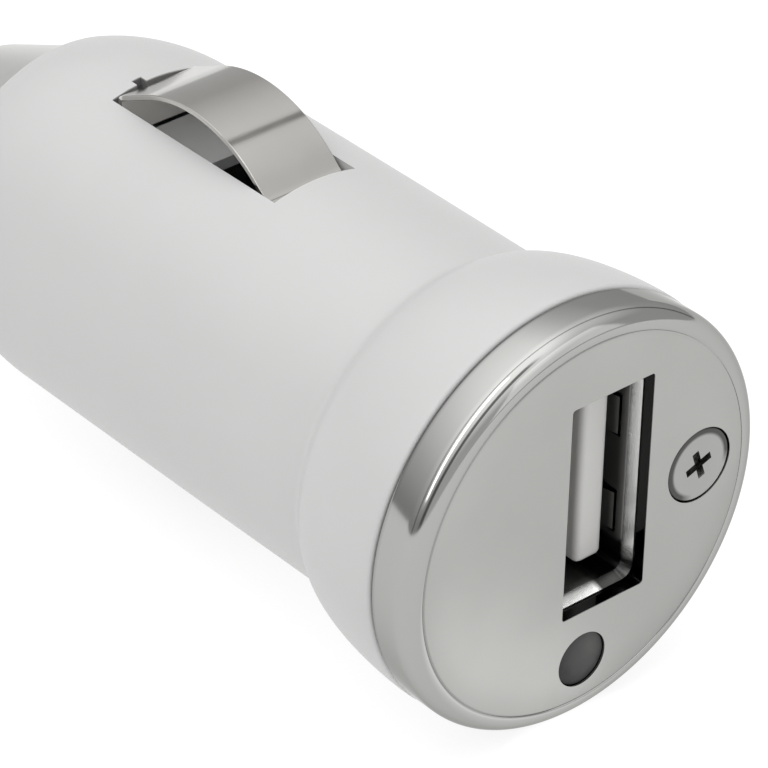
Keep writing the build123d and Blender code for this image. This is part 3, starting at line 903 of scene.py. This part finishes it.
@dataclass
class BodyShell:
    """White moulding: barrel, flare and flange, with a window for each contact."""

    barrel_radius: float = 10.42
    inner_radius: float = 9.15
    land: float = 10.8
    barrel_end: Pair = (10.338, 26.8)
    rim: Pair = (8.8, 33.2)
    rim_round: float = 0.4
    nose_share: float = 0.955
    inner_end: float = 24.0
    flange_radius: float = 12.35
    flange_front: float = -7.76
    seam_round: float = 0.25
    flare_y: float = -7.06
    flare_start: float = 0.2
    flare_lead: Pair = (12.195, -1.266)
    shoulder: float = 0.9
    cavity_rear: float = -3.9536
    spigot: Triple = (10.44, 11.14, -9.5)
    bore: Pair = (6.35, 29.1)
    floor_radius: float = 8.3
    window_half: float = 2.8
    window: Pair = (11.3, 25.1)
    notch: Triple = (-1.075, -0.425, 25.6)
    pocket: Quad = (2.85, 9.6, 9.65, 0.2)
    web: tuple[float, ...] = (6.31, 19.57, 24.45, 6.9, 7.6)
    boss: Quad = (7.95, 0.4, 1.9, 1.14)
    boss_ends: Pair = (-8.88, 0.18)
    tie: Quad = (0.6, 0.3, -0.8, 0.5)
    pad_room: float = 2.92
    rails: Pair = (-0.95, -3.15)
    rail: Quad = (4.58, 6.98, 7.3, 9.4)
    rail_half: float = 0.4
    edge_ease: Pair = (0.09, 45.0)
    steps: int = 192
    finish: Finish = Moulding(
        "satin_white_moulding",
        (0.482, 0.482, 0.479),
        (0.36, 0.46),
        0.012,
        marks=(
            # painted shade: the window's rear wall and notch are painted near black
            Recess((0.15, 0.15, 0.148), (10.24, 10.31), (25.05, 25.7)),
            # painted light: the webs under the leaves are painted lighter than the moulding
            Recess((0.70, 0.70, 0.695), (8.2, 8.4), (19.5, 24.5)),
        ),
    )

    def nose(self) -> list[Pair]:
        """Draw the outer curve behind the barrel.

        Returns:
            Radius and Y from the barrel's end to the top of the rim.
        """
        (start, front), (end, rear) = self.barrel_end, self.rim
        drop, length = start - end, rear - front
        bend = (drop * drop + length * length) / (2 * drop)
        last = math.degrees(math.asin(length / bend)) * self.nose_share
        curve = arc((start - bend, front), bend, 0, last, steps=22)
        inward = arc(curve[-1], self.rim_round, last + 180, last + 180, steps=1)[0]
        return joined(curve, arc(inward, self.rim_round, last, 90, steps=6))

    def profile(self) -> list[Pair]:
        """Draw the section of the shell.

        Returns:
            Radius and Y round the closed section.
        """
        low, high, front = self.spigot
        turn = (self.flange_radius - self.seam_round, self.flange_front + self.seam_round)
        corner = (self.barrel_radius, 0.0)
        lead = (self.flange_radius, self.flare_y + self.flare_start)
        flare = bezier(((self.flange_radius, self.flare_y), lead, self.flare_lead, corner), steps=26)
        flare = [point for point in flare if math.dist(point, corner) > self.shoulder]
        land_start = (self.barrel_radius, self.shoulder)
        land_end = (self.barrel_radius, self.land)
        nose = self.nose()
        bore_radius, floor_y = self.bore
        return joined(
            [(low, front), (high, front), (high, self.flange_front)],
            arc(turn, self.seam_round, -90, 0, steps=5),
            flare,
            bezier((flare[-1], corner, corner, land_start), steps=10),
            run(land_start, land_end, steps=8),
            run(land_end, self.barrel_end, steps=10),
            nose,
            [(bore_radius, nose[-1][1]), (bore_radius, floor_y), (self.floor_radius, floor_y)],
            [(self.inner_radius, self.inner_end), (self.inner_radius, 0.0), (low, self.cavity_rear)],
        )

    def build(self) -> Thing:
        """Spin the section and cut the windows.

        Returns:
            The finished shell.
        """
        piece = Bench.lathe("body_skin", self.profile(), self.steps, closed=True)
        half = self.window_half
        reach = self.flange_radius + OVERCUT
        low, high, rear = self.notch
        width, front, top, past = self.pocket
        cuts = (
            ((-half, self.window[0], -reach), (half, self.window[1], reach)),
            ((low, self.window[1] - OVERCUT, -reach), (high, rear, reach)),
            ((-width, front, -top), (width, self.window[0] + past, top)),
        )
        for corners in cuts:
            Bench.combine(piece, Bench.block("cut", *corners), Join.CUT)
        self.fittings(piece)
        return Bench.ease(piece, *self.edge_ease)

    def fittings(self, piece: Thing) -> None:
        """Add what the shell holds inside: webs, rails and the screw boss.

        Args:
            piece: The shell.
        """
        half, front, rear, low, high = self.web
        start, end, inner, outer = self.rail
        for side in (-1.0, 1.0):
            z = sorted((side * low, side * high))
            Bench.combine(piece, Bench.block("web", (-half, front, z[0]), (half, rear, z[1])), Join.ADD)
            z = sorted((side * inner, side * outer))
            for x in self.rails:
                corners = (x - self.rail_half, start, z[0]), (x + self.rail_half, end, z[1])
                Bench.combine(piece, Bench.block("rail", *corners), Join.ADD)
        x, z, radius, hole = self.boss
        front, rear = self.boss_ends
        lead, root, tie_rear, half = self.tie
        Bench.combine(piece, Bench.rod("boss", (x, z), radius, (front, rear)), Join.ADD)
        corners = (x, front + lead, z - half), (self.spigot[0] + root, tie_rear, z + half)
        Bench.combine(piece, Bench.block("tie", *corners), Join.ADD)
        Bench.drill(piece, (x, z), hole, (front - OVERCUT, rear + OVERCUT))
        Bench.drill(piece, (x, z), self.pad_room, (self.spigot[2] - OVERCUT, front))

    def dress(self) -> None:
        """Build the shell and hand it over."""
        hand_over(self.build(), Body.HOUSING, "body_shell", self.finish)


@dataclass
class FacePlate:
    """Chrome cap with the port, the light's hole and the sunk screw hole."""

    face_y: float = -10.6
    radius: float = 12.3
    edge_round: float = 1.1
    thickness: float = 0.7
    skirt_rear: float = -7.8
    skirt_inner: float = 11.2
    skirt_corner: float = 0.3
    seam_round: float = 0.25
    flat_rings: Pair = (4.0, 9.0)
    groove: Quad = (11.12, 0.16, 0.07, 0.01)
    port: Quad = (1.45, 1.1, 5.7, 13.2)
    port_corner: float = 0.2
    lamp: Triple = (0.17, -8.58, 1.63)
    screw: Triple = (7.95, 0.4, 2.22)
    sink_floor: float = -9.62
    pad: Triple = (2.82, -8.92, 0.2)
    shank_hole: float = 1.4
    edge_ease: Pair = (0.08, 55.0)
    steps: int = 256
    finish: Finish = RolledCap(
        "rolled_chrome_cap",
        (0.402, 0.402, 0.390),
        (0.39, 0.39, 0.38),
        (0.30, 0.36),
        (0.07, 0.12),
        11.06,
        -10.6,
        # painted shade: the wall of the port's cut is painted near black
        Patch((0.03, 0.03, 0.03), (-1.44, -10.54, -5.54), (4.34, -9.8, 7.74), 0.04),
    )

    def profile(self) -> list[Pair]:
        """Draw the section of the cap.

        Returns:
            Radius and Y from the middle of its front to the middle of its back.
        """
        at, width, depth, lip = self.groove
        back = self.face_y + self.thickness
        roll_middle = (self.radius - self.edge_round, self.face_y + self.edge_round)
        seam_middle = (self.radius - self.seam_round, self.skirt_rear - self.seam_round)
        return joined(
            [(radius, self.face_y) for radius in (0.0, *self.flat_rings, at - width)],
            [(at, self.face_y + depth), (at + width / 2, self.face_y + lip)],
            arc(roll_middle, self.edge_round, -90, 0, steps=18)[1:],
            arc(seam_middle, self.seam_round, 0, 90, steps=5),
            [(self.skirt_inner, self.skirt_rear), (self.skirt_inner, back + self.skirt_corner)],
            [(self.skirt_inner - self.skirt_corner, back), (0.0, back)],
        )

    def build(self) -> Thing:
        """Spin the cap, add the screw pad and cut its openings.

        Returns:
            The finished cap.
        """
        piece = Bench.lathe("face_cap", self.profile(), self.steps)
        back = self.face_y + self.thickness
        *screw_at, sink_radius = self.screw
        pad_radius, pad_rear, pad_root = self.pad
        Bench.combine(piece, Bench.rod("pad", screw_at, pad_radius, (back - pad_root, pad_rear)), Join.ADD)
        x, z, width, height = self.port
        front, rear = self.face_y - OVERCUT, back + OVERCUT
        low = (x - width / 2, front, z - height / 2)
        high = (x + width / 2, rear, z + height / 2)
        Bench.combine(piece, Bench.block("cut", low, high, self.port_corner), Join.CUT)
        Bench.drill(piece, self.lamp[:2], self.lamp[2], (front, rear))
        Bench.drill(piece, screw_at, sink_radius, (front, self.sink_floor))
        Bench.drill(piece, screw_at, self.shank_hole, (front, pad_rear + OVERCUT))
        return Bench.ease(piece, *self.edge_ease)

    def dress(self) -> None:
        """Build the cap and hand it over."""
        hand_over(self.build(), Body.HOUSING, "face_plate", self.finish)


@dataclass
class FaceScrew:
    """Sunk pan-head screw with a cross recess."""

    at: Pair = (7.95, 0.4)
    head_front: float = -10.57
    head_rear: float = -9.62
    head_radius: float = 2.17
    dome: float = 0.14
    shank_radius: float = 1.1
    shank_end: float = -1.22
    core_share: float = 0.82
    point_share: float = 0.5
    thread_pitch: float = 0.8
    thread_form: Pair = (0.25, 0.6)
    thread_margins: Pair = (0.6, 1.2)
    recess: Quad = (2.3, 0.6, -1.0, 0.7)
    recess_taper: Triple = (0.62, 1.0, 0.6)
    recess_turn: float = 19.0
    smooth: float = 30.0
    steps: int = 96
    finish: Finish = Plating(
        "bright_screw_plating",
        (0.345, 0.345, 0.335),
        (0.20, 0.28),
        EVEN,
        marks=(
            # painted shade: a dark ring round the edge of the head, left open at its lower right
            Ring((0.075, 0.075, 0.073), (7.95, -10.5, 0.4), (1.72, 1.9), (9.1, -10.5, -1.6), (1.5, 2.3)),
        ),
    )

    def profile(self) -> list[Pair]:
        """Draw the section of the screw.

        Returns:
            Radius and Y from the middle of its head to the middle of its point.
        """
        dome_middle = (self.head_radius - self.dome, self.head_front + self.dome)
        core = self.shank_radius * self.core_share
        root, crest = (self.thread_pitch * share for share in self.thread_form)
        thread: list[Pair] = []
        y = self.head_rear + self.thread_margins[0]
        while y < self.shank_end - self.thread_margins[1]:
            thread += [(core, y), (core, y + root), (self.shank_radius, y + crest)]
            y += self.thread_pitch
        return joined(
            [(0.0, self.head_front)],
            arc(dome_middle, self.dome, -90, 0, steps=8),
            [(self.head_radius, self.head_rear), (core, self.head_rear)],
            thread,
            [(self.shank_radius * self.point_share, self.shank_end), (0.0, self.shank_end)],
        )

    def build(self) -> Thing:
        """Spin the screw and cut its recess.

        Returns:
            The finished screw.
        """
        piece = Bench.lathe("face_screw_bright", self.profile(), self.steps, axis_at=self.at)
        length, width, start, depth = self.recess
        for turn in (self.recess_turn, self.recess_turn + 90.0):
            tool = Bench.block("cut", (-length / 2, start, -width / 2), (length / 2, depth, width / 2))
            Bench.focus(tool)
            deep = [vertex.index for vertex in tool.data.vertices if vertex.co.y > 0.0]
            Bench.pick(tool, Pick.VERTICES, deep)
            bpy.ops.transform.resize(value=self.recess_taper, center_override=mm(0, depth, 0))
            bpy.ops.object.mode_set(mode="OBJECT")
            tool.rotation_euler = (0.0, -math.radians(turn), 0.0)
            tool.location = mm(self.at[0], self.head_front, self.at[1])
            bpy.ops.object.transform_apply(location=True, rotation=True, scale=True)
            Bench.combine(piece, tool, Join.CUT)
        return Bench.polish(piece, self.smooth)

    def dress(self) -> None:
        """Build the screw and hand it over."""
        hand_over(self.build(), Body.HOUSING, "face_screw", self.finish)


@dataclass
class IndicatorLight:
    """Smoky lens of the light, a low dome on a straight body."""

    at: Pair = (0.17, -8.58)
    front: float = -10.56
    rear: float = -5.16
    radius: float = 1.58
    dome: float = 0.12
    waist: Triple = (0.9, 0.8, 0.06)
    smooth: float = 35.0
    steps: int = 96
    # painted highlight: the lens is painted lighter towards its upper right
    finish: Finish = Lens(
        "smoky_lens", (0.012, 0.012, 0.012), (0.058, 0.058, 0.056), (0.75, -10.4, -7.9), 2.0
    )

    def profile(self) -> list[Pair]:
        """Draw the section of the lens.

        Returns:
            Radius and Y from the top of its dome to the middle of its back.
        """
        bend = (self.radius**2 + self.dome**2) / (2 * self.dome)
        half = math.degrees(math.asin(self.radius / bend))
        start, end, depth = self.waist
        return joined(
            [(0.0, self.front)],
            arc((0.0, self.front + bend), bend, -90, -90 + half, steps=14)[1:],
            [(self.radius, self.rear - start), (self.radius - depth, self.rear - end)],
            [(self.radius - depth, self.rear), (0.0, self.rear)],
        )

    def build(self) -> Thing:
        """Spin the lens."""
        piece = Bench.lathe("indicator_lens", self.profile(), self.steps, axis_at=self.at)
        return Bench.polish(piece, self.smooth)

    def dress(self) -> None:
        """Build the lens and hand it over."""
        hand_over(self.build(), Body.HOUSING, "indicator_led", self.finish)


@dataclass
class Receptacle:
    """Insulator of the port: a base block and a tongue with a rounded nose."""

    base: tuple[Triple, Triple] = ((-1.07, -0.62, -5.11), (3.97, 4.08, 7.31))
    base_corner: float = 0.5
    tongue: tuple[Triple, Triple] = ((1.53, -8.4, -4.45), (3.37, 0.6, 6.65))
    nose_round: float = 0.42
    groove: Triple = (0.175, 0.54, -7.5)
    groove_places: Quad = (-2.4, 0.1, 2.1, 4.6)
    smooth: float = 32.0
    finish: Finish = Moulding("off_white_insulator", (0.58, 0.575, 0.56), (0.40, 0.52))

    def build(self) -> Thing:
        """Join the tongue to the base and cut a groove for each strip.

        Returns:
            The finished insulator.
        """
        piece = Bench.block("port_insulator", *self.base, self.base_corner)
        tongue = Bench.block("tongue", *self.tongue)
        Bench.combine(piece, Bench.ease(tongue, self.nose_round, segments=6), Join.ADD)
        depth, half, front = self.groove
        near, rear = self.tongue[0][0], self.base[1][1] + OVERCUT
        for z in self.groove_places:
            cut = Bench.block("cut", (near - depth, front, z - half), (near + depth, rear, z + half))
            Bench.combine(piece, cut, Join.CUT)
        return Bench.polish(piece, self.smooth)

    def dress(self) -> None:
        """Build the insulator and hand it over."""
        hand_over(self.build(), Body.HOUSING, "usb_insulator", self.finish)


@dataclass
class SideContacts:
    """Two bowed leaves: a foot under the window's lip, an arch, a leg and a tail."""

    width: float = 5.2
    columns: int = 4
    thickness: float = 0.3
    crest: Pair = (18.586, 12.3)
    arch_radius: float = 8.8
    front_angle: float = 39.5
    rear_angle: float = 26.0
    foot: Pair = (10.0, 9.4)
    foot_bend: float = 1.2
    leg_y: float = 24.7
    tail: Pair = (26.65, 7.67)
    corner: float = 0.3
    ankle_bend: float = 0.18
    edge_ease: Pair = (0.05, 60.0)
    finish: Finish = Plating(
        "nickel_strip",
        (0.41, 0.403, 0.384),
        (0.09, 0.15),
        (0.04, 1.0, 1.0),
        # painted light: the leaf is painted far lighter from its knee to its tail
        marks=(Fade((0.92, 0.90, 0.87), Axis.Y, (24.42, 24.54)),),
    )

    def line(self) -> list[Pair]:
        """Draw the middle line of the upper leaf.

        Returns:
            Y and Z from its foot to its tail.
        """
        bend = self.arch_radius - self.thickness / 2
        centre = (self.crest[0], self.crest[1] - self.arch_radius)
        front, rear = math.radians(self.front_angle), math.radians(self.rear_angle)
        arch = arc(centre, bend, 90 + self.front_angle, 90 - self.rear_angle, steps=48)
        up, down = arch[0], arch[-1]
        foot_corner = up[0] - (up[1] - self.foot[1]) / math.tan(front)
        trim = self.foot_bend * math.tan(front / 2)
        foot_middle = (foot_corner - trim, self.foot[1] + self.foot_bend)
        foot_arc = arc(foot_middle, self.foot_bend, -90, -90 + self.front_angle, steps=8)
        leg_top = down[1] - (self.leg_y - down[0]) * math.tan(rear)
        cut = self.corner * math.tan((math.pi / 2 - rear) / 2)
        knee_middle = (self.leg_y - self.corner, leg_top - cut)
        knee = arc(knee_middle, self.corner, 90 - self.rear_angle, 0, steps=5)
        ankle_middle = (self.leg_y + self.ankle_bend, self.tail[1] + self.ankle_bend)
        ankle = arc(ankle_middle, self.ankle_bend, 180, 270, steps=5)
        rise = run(foot_arc[-1], up, steps=3)
        fall = run(down, knee[0], steps=4)
        return joined([self.foot], foot_arc, rise, arch, fall, knee, ankle, [self.tail])

    def build(self) -> Thing:
        """Draw the middle line, pull it across and give it its thickness.

        Returns:
            The finished upper leaf.
        """
        piece = Bench.chain("leaf_upper", [mm(-self.width / 2, y, z) for y, z in self.line()])
        step = mm(self.width / self.columns, 0, 0)
        for _ in range(self.columns):
            bpy.ops.mesh.extrude_region_move(TRANSFORM_OT_translate={"value": step})
        Bench.close_up()
        Bench.modify(piece, "SOLIDIFY", thickness=self.thickness * MM, offset=0.0, use_even_offset=True)
        return Bench.ease(piece, *self.edge_ease)

    def twin(self, leaf: Thing) -> Thing:
        """Copy the upper leaf and turn the copy half round the plug's axis.

        Args:
            leaf: The upper leaf.

        Returns:
            The lower leaf.
        """
        Bench.focus(leaf)
        bpy.ops.object.duplicate(linked=False)
        bpy.ops.transform.rotate(value=math.pi, orient_axis="Y", center_override=(0.0, 0.0, 0.0))
        return Bench.added("leaf_lower")

    def dress(self) -> None:
        """Build both leaves and hand them over."""
        upper = self.build()
        lower = self.twin(upper)
        hand_over(upper, Body.UPPER, "side_contact_upper", self.finish)
        hand_over(lower, Body.LOWER, "side_contact_lower", self.finish)


@dataclass
class NoseEnd:
    """Nose ring, sprung centre pin and the coil behind it."""

    ring_rear: float = 33.24
    ring_front: float = 40.44
    ring_base: float = 8.1
    ring_end: float = 5.2
    ring_inset: float = 0.35
    ring_rounds: Pair = (0.3, 0.6)
    ring_slope: float = 22.0
    shank: Pair = (6.31, 29.6)
    chamber: Pair = (4.6, 36.84)
    mouth: float = 0.25
    pin_radius: float = 2.6
    pin_gap: float = 0.06
    pin_front: float = 45.44
    pin_round: float = 0.55
    flange: Triple = (4.1, 35.6, 36.8)
    stub: Triple = (2.4, 34.2, 0.3)
    coil_radius: float = 2.95
    coil_wire: float = 0.25
    coil_sides: int = 12
    coil_ends: Pair = (28.89, 35.31)
    coil_turns: int = 6
    coil_steps: int = 36
    coil_smooth: float = 50.0
    coil_keep: float = 0.62
    smooth: float = 30.0
    steps: int = 128
    ring_finish: Finish = Plating("satin_nose_ring", (0.64, 0.64, 0.63), (0.30, 0.40))
    pin_finish: Finish = Plating("bright_nickel_pin", (0.66, 0.65, 0.63), (0.16, 0.24))
    coil_finish: Finish = Plating("drawn_spring_wire", (0.45, 0.45, 0.45), (0.22, 0.32), EVEN)

    def ring(self) -> Thing:
        """Spin the ring.

        Returns:
            The finished ring.
        """
        wide, slim = self.ring_rounds
        base_middle = (self.ring_base - self.ring_inset, self.ring_rear + wide)
        end_middle = (self.ring_end - self.ring_inset, self.ring_front - slim)
        base = arc(base_middle, wide, -90, self.ring_slope, steps=6)
        end = arc(end_middle, slim, self.ring_slope, 90, steps=6)
        bore = self.pin_radius + self.pin_gap
        profile = joined(
            [(self.chamber[0], self.shank[1]), self.shank, (self.shank[0], self.ring_rear)],
            base,
            run(base[-1], end[0], steps=10),
            end,
            [(bore + self.mouth, self.ring_front), (bore, self.ring_front - self.mouth)],
            [(bore, self.chamber[1]), self.chamber],
        )
        return Bench.polish(Bench.lathe("nose_cone", profile, self.steps, closed=True), self.smooth)

    def pin(self) -> Thing:
        """Spin the pin.

        Returns:
            The finished pin.
        """
        bend = self.pin_radius * self.pin_round
        radius, rear, front = self.flange
        stub, stub_rear, edge = self.stub
        profile = joined(
            [(0.0, stub_rear), (stub - edge, stub_rear), (stub, stub_rear + edge)],
            [(stub, rear), (radius, rear), (radius, front), (self.pin_radius, front)],
            arc((self.pin_radius - bend, self.pin_front - bend), bend, 0, 90, steps=12),
            [(0.0, self.pin_front)],
        )
        return Bench.polish(Bench.lathe("centre_pin", profile, self.steps), self.smooth)

    def coil(self) -> Thing:
        """Wind the spring.

        Returns:
            The finished spring.
        """
        Bench.clear()
        start, end = self.coil_ends
        bpy.ops.mesh.primitive_circle_add(
            vertices=self.coil_sides,
            radius=self.coil_wire * MM,
            location=mm(self.coil_radius, start, 0),
        )
        piece = Bench.added("tip_coil")
        Bench.modify(
            piece,
            "SCREW",
            axis="Y",
            angle=TURN * self.coil_turns,
            screw_offset=(end - start) * MM,
            steps=self.coil_steps * self.coil_turns,
            render_steps=self.coil_steps * self.coil_turns,
            use_merge_vertices=False,
        )
        bpy.ops.object.mode_set(mode="EDIT")
        bpy.ops.mesh.select_all(action="DESELECT")
        bpy.ops.mesh.select_non_manifold()
        bpy.ops.mesh.edge_face_add()
        Bench.close_up()
        return Bench.polish(piece, self.coil_smooth)

    def dress(self) -> None:
        """Build the three pieces and hand them over."""
        hand_over(self.ring(), Body.HOUSING, "nose_ring", self.ring_finish)
        hand_over(self.pin(), Body.TIP, "tip_pin", self.pin_finish)
        coil = self.coil()
        hand_over(coil, Body.HOUSING, "tip_spring", self.coil_finish)
        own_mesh(coil)


@dataclass
class InnerParts:
    """Finishes of the port's steel, the board and what the board carries."""

    replaced: tuple[str, ...] = (
        "body_shell",
        "face_plate",
        "face_screw",
        "indicator_led",
        "usb_insulator",
        "side_contact",
        "nose_ring",
        "tip_pin",
        "tip_spring",
    )
    finishes: dict[str, Finish] = field(
        default_factory=lambda: {
            "usb_shell": Plating(
                "tinned_port_steel",
                (0.96, 0.96, 0.95),
                (0.18, 0.28),
                marks=(
                    # painted shade: the shell is painted dark from just behind its lip inwards
                    Fade((0.20, 0.20, 0.197), Axis.Y, (-9.35, -9.05)),
                    # painted shade: a near-black patch in the shell's low corner on the +X side
                    Patch((0.06, 0.06, 0.059), (2.2, -10.0, -6.0), (4.7, 4.2, -4.6), 0.35),
                ),
            ),
            "usb_contact": Plating("gold_flash_strip", (0.75, 0.56, 0.26), (0.16, 0.24)),
            "circuit_board": Laminate("green_solder_mask", (0.03, 0.16, 0.07)),
            "converter_chip": Moulding("black_epoxy", (0.02, 0.02, 0.02), (0.45, 0.60)),
            "rectifier_diode": Moulding("black_epoxy_block", (0.022, 0.022, 0.022), (0.45, 0.60)),
            "converter_pins": Plating("tinned_lead", (0.58, 0.58, 0.57), (0.24, 0.34), EVEN),
            "led_leg": Plating("tinned_leg", (0.58, 0.58, 0.57), (0.24, 0.34), EVEN),
            "inductor_core": Moulding("sintered_ferrite", (0.05, 0.05, 0.055), (0.55, 0.70), 0.06),
            "inductor_winding": Plating(
                "enamelled_copper", (0.45, 0.17, 0.06), (0.22, 0.34), (0.6, 0.02, 0.02), 3000.0
            ),
            "input_capacitor": Moulding("dark_can_sleeve", (0.03, 0.035, 0.06), (0.25, 0.35)),
            "output_capacitor": Moulding("dark_small_can", (0.03, 0.035, 0.06), (0.25, 0.35)),
            "resistor": Moulding("resistor_coat", (0.03, 0.03, 0.035), (0.40, 0.50)),
            "bypass_capacitor": Moulding("tan_ceramic", (0.42, 0.31, 0.20), (0.40, 0.50)),
            "tip_terminal": Plating("stamped_brass", (0.62, 0.48, 0.25), (0.22, 0.32), (1.0, 1.0, 0.05)),
            "ground_wire": Moulding("black_wire_coat", (0.02, 0.02, 0.02), (0.40, 0.55)),
        }
    )

    def dress(self) -> None:
        """Give each node that shows its own material."""
        made = {key: finish.make() for key, finish in self.finishes.items()}
        for name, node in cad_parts.items():
            if name.startswith(self.replaced):
                continue
            key = max((k for k in made if k in name), key=len)
            node.data.materials.clear()
            node.data.materials.append(made[key])
            LOG.info("node %s: %s", name, made[key].name)


@dataclass(frozen=True)
class SoftBox:
    """One large soft lamp."""

    name: str
    place: Triple
    aim: Triple
    size: Pair
    power: float

    def hang(self) -> None:
        """Put the lamp in the studio."""
        Bench.clear()
        bpy.ops.object.light_add(type="AREA", location=self.place)
        lamp = bpy.context.view_layer.objects.active
        lamp.name = self.name
        lamp.data.shape = "RECTANGLE"
        lamp.data.size, lamp.data.size_y = self.size
        lamp.data.energy = self.power
        lamp.rotation_euler = (Vector(self.aim) - Vector(self.place)).to_track_quat("-Z", "Y").to_euler()


@dataclass
class Studio:
    """Pale floor, soft light and the camera."""

    floor_z: float = -12.35
    floor_side: float = 3.0
    azimuth: float = -41.65
    elevation: float = 33.66
    roll: float = 1.60
    focal: float = 5039.0
    target: Triple = (0.0, -10.6, 0.0)
    target_pixel: Pair = (586.7, 526.5)
    distance: float = 258.8
    sensor: float = 36.0
    clip: Pair = (0.01, 20.0)
    sky: tuple[Pair, ...] = ((0.0, 0.36), (0.10, 0.43), (0.35, 0.74), (0.60, 1.20), (1.0, 2.10))
    front_level: float = 0.72
    front_reach: Pair = (-0.15, -0.60)
    seam: Pair = (0.988, -0.156)
    seam_width: Pair = (0.022, 0.052)
    seam_level: float = 0.28
    panels: Pair = (1.0, 1.05)
    right_reach: Pair = (0.15, 0.55)
    right_level: float = 0.69
    right_low: float = 0.88
    shade_axis: Triple = (0.44, -0.783, -0.44)
    shade_width: Pair = (0.07, 0.16)
    shade_reach: Pair = (0.62, 0.82)
    shade_level: float = 0.20
    lamps: tuple[SoftBox, ...] = (
        SoftBox("left_box", (-0.33, -0.085, 0.37), (0.0, 0.0, 0.0), (0.09, 0.62), 0.60),
        SoftBox("front_box", (0.25, -0.55, 0.28), (0.0, 0.0, 0.0), (0.50, 0.50), 0.50),
    )
    paper: Finish = Paper(
        "studio_paper",
        (0.22, 0.22, 0.22),
        (0.75, 0.85),
        0.004,
        600.0,
        (0.002, 0.25),
        0.2,
        pool=(-1.0, -17.0, -12.35),
        reach=(8.0, 2.0),
        glow=(0.82, 1.26),
    )

    def floor(self) -> None:
        """Lay the floor."""
        Bench.clear()
        bpy.ops.mesh.primitive_plane_add(size=self.floor_side, location=mm(0, 0, self.floor_z))
        piece = Bench.added("studio_floor")
        piece.data.materials.append(self.paper.make())

    def open_sky(self, desk: Desk) -> Socket:
        """Lay out how bright the sky is by height, in front and on the right.

        Args:
            desk: Desk of the sky.

        Returns:
            Its level.
        """
        ramp = desk.add("ValToRGB", "Color", {"Fac": desk.along(Axis.Z)})
        stops = ramp.node.color_ramp.elements
        while len(stops) < len(self.sky):
            stops.new(0.5)
        for stop, (position, level) in zip(stops, self.sky):
            stop.position = position
            stop.color = opaque((level, level, level))
        front = desk.step(desk.along(Axis.Y), self.front_reach, (0.0, self.front_level))
        beside = desk.step(desk.along(Axis.X), self.right_reach, (0.0, self.right_low))
        return desk.sums(Sum.MOST, ramp, desk.sums(Sum.MOST, front, beside))

    def screens(self, desk: Desk) -> Socket:
        """Lay out what dims the sky: a seam between two panels, the right side and a flag.

        Args:
            desk: Desk of the sky.

        Returns:
            Share of the light that is left.
        """
        parts = zip((Axis.Y, Axis.Z), self.seam)
        y, z = (desk.sums(Sum.TIMES, desk.along(axis), part) for axis, part in parts)
        across = desk.sums(Sum.PLUS, y, z)
        edge = self.seam_width[0]
        panel = desk.step(across, (-edge, edge), self.panels)
        gap = desk.step(desk.sums(Sum.SIZE, across), self.seam_width, (self.seam_level, 1.0))
        right = desk.step(desk.along(Axis.X), self.right_reach, (1.0, self.right_level))
        near = desk.step(desk.toward(self.eye()), self.shade_reach, RISE)
        thin = desk.step(desk.sums(Sum.SIZE, desk.toward(self.shade_axis)), self.shade_width, FALL)
        flag = desk.step(desk.sums(Sum.TIMES, near, thin), RISE, (1.0, self.shade_level))
        return desk.sums(Sum.TIMES, desk.sums(Sum.TIMES, panel, gap), desk.sums(Sum.TIMES, right, flag))

    def light(self) -> None:
        """Hang the lamps and paint the sky."""
        for lamp in self.lamps:
            lamp.hang()
        world = bpy.data.worlds.new("studio_sky")
        bpy.context.scene.world = world
        world.use_nodes = True
        back = world.node_tree.nodes["Background"]
        desk = Desk(world.node_tree, Space.SKY)
        level = desk.sums(Sum.TIMES, self.open_sky(desk), self.screens(desk))
        world.node_tree.links.new(level, back.inputs["Strength"])
        back.inputs["Color"].default_value = opaque(EVEN)
        bpy.context.scene.view_settings.view_transform = "Standard"

    def eye(self) -> Vector:
        """Direction from the object to the camera."""
        a, e = math.radians(self.azimuth), math.radians(self.elevation)
        return Vector((math.sin(a) * math.cos(e), -math.cos(a) * math.cos(e), math.sin(e)))

    def camera(self) -> None:
        """Set the camera where the photograph was taken from."""
        a, t = math.radians(self.azimuth), math.radians(self.roll)
        right = Vector((math.cos(a), math.sin(a), 0.0))
        sight = -self.eye()
        up = right.cross(sight)
        right_turned = math.cos(t) * right + math.sin(t) * up
        up_turned = -math.sin(t) * right + math.cos(t) * up
        middle = IMAGE_SIDE / 2
        across = (self.target_pixel[0] - middle) / self.focal * self.distance
        above = (middle - self.target_pixel[1]) / self.focal * self.distance
        reach = self.distance * sight + across * right_turned + above * up_turned
        Bench.clear()
        bpy.ops.object.camera_add(location=mm(*self.target) - reach * MM)
        camera = bpy.context.view_layer.objects.active
        camera.rotation_euler = Matrix((right_turned, up_turned, -sight)).transposed().to_euler()
        camera.data.sensor_width = self.sensor
        camera.data.lens = self.focal / IMAGE_SIDE * self.sensor
        camera.data.clip_start, camera.data.clip_end = self.clip
        bpy.context.scene.camera = camera

    def dress(self) -> None:
        """Set up the whole studio."""
        self.floor()
        self.light()
        self.camera()


def main() -> None:
    """Build and dress every sub-assembly, then the studio."""
    logging.basicConfig(level=logging.INFO, format="%(name)s %(message)s")
    BodyShell().dress()
    FacePlate().dress()
    FaceScrew().dress()
    IndicatorLight().dress()
    Receptacle().dress()
    SideContacts().dress()
    NoseEnd().dress()
    InnerParts().dress()
    Studio().dress()
    Bench.clear()


if __name__ == "__main__":
    main()
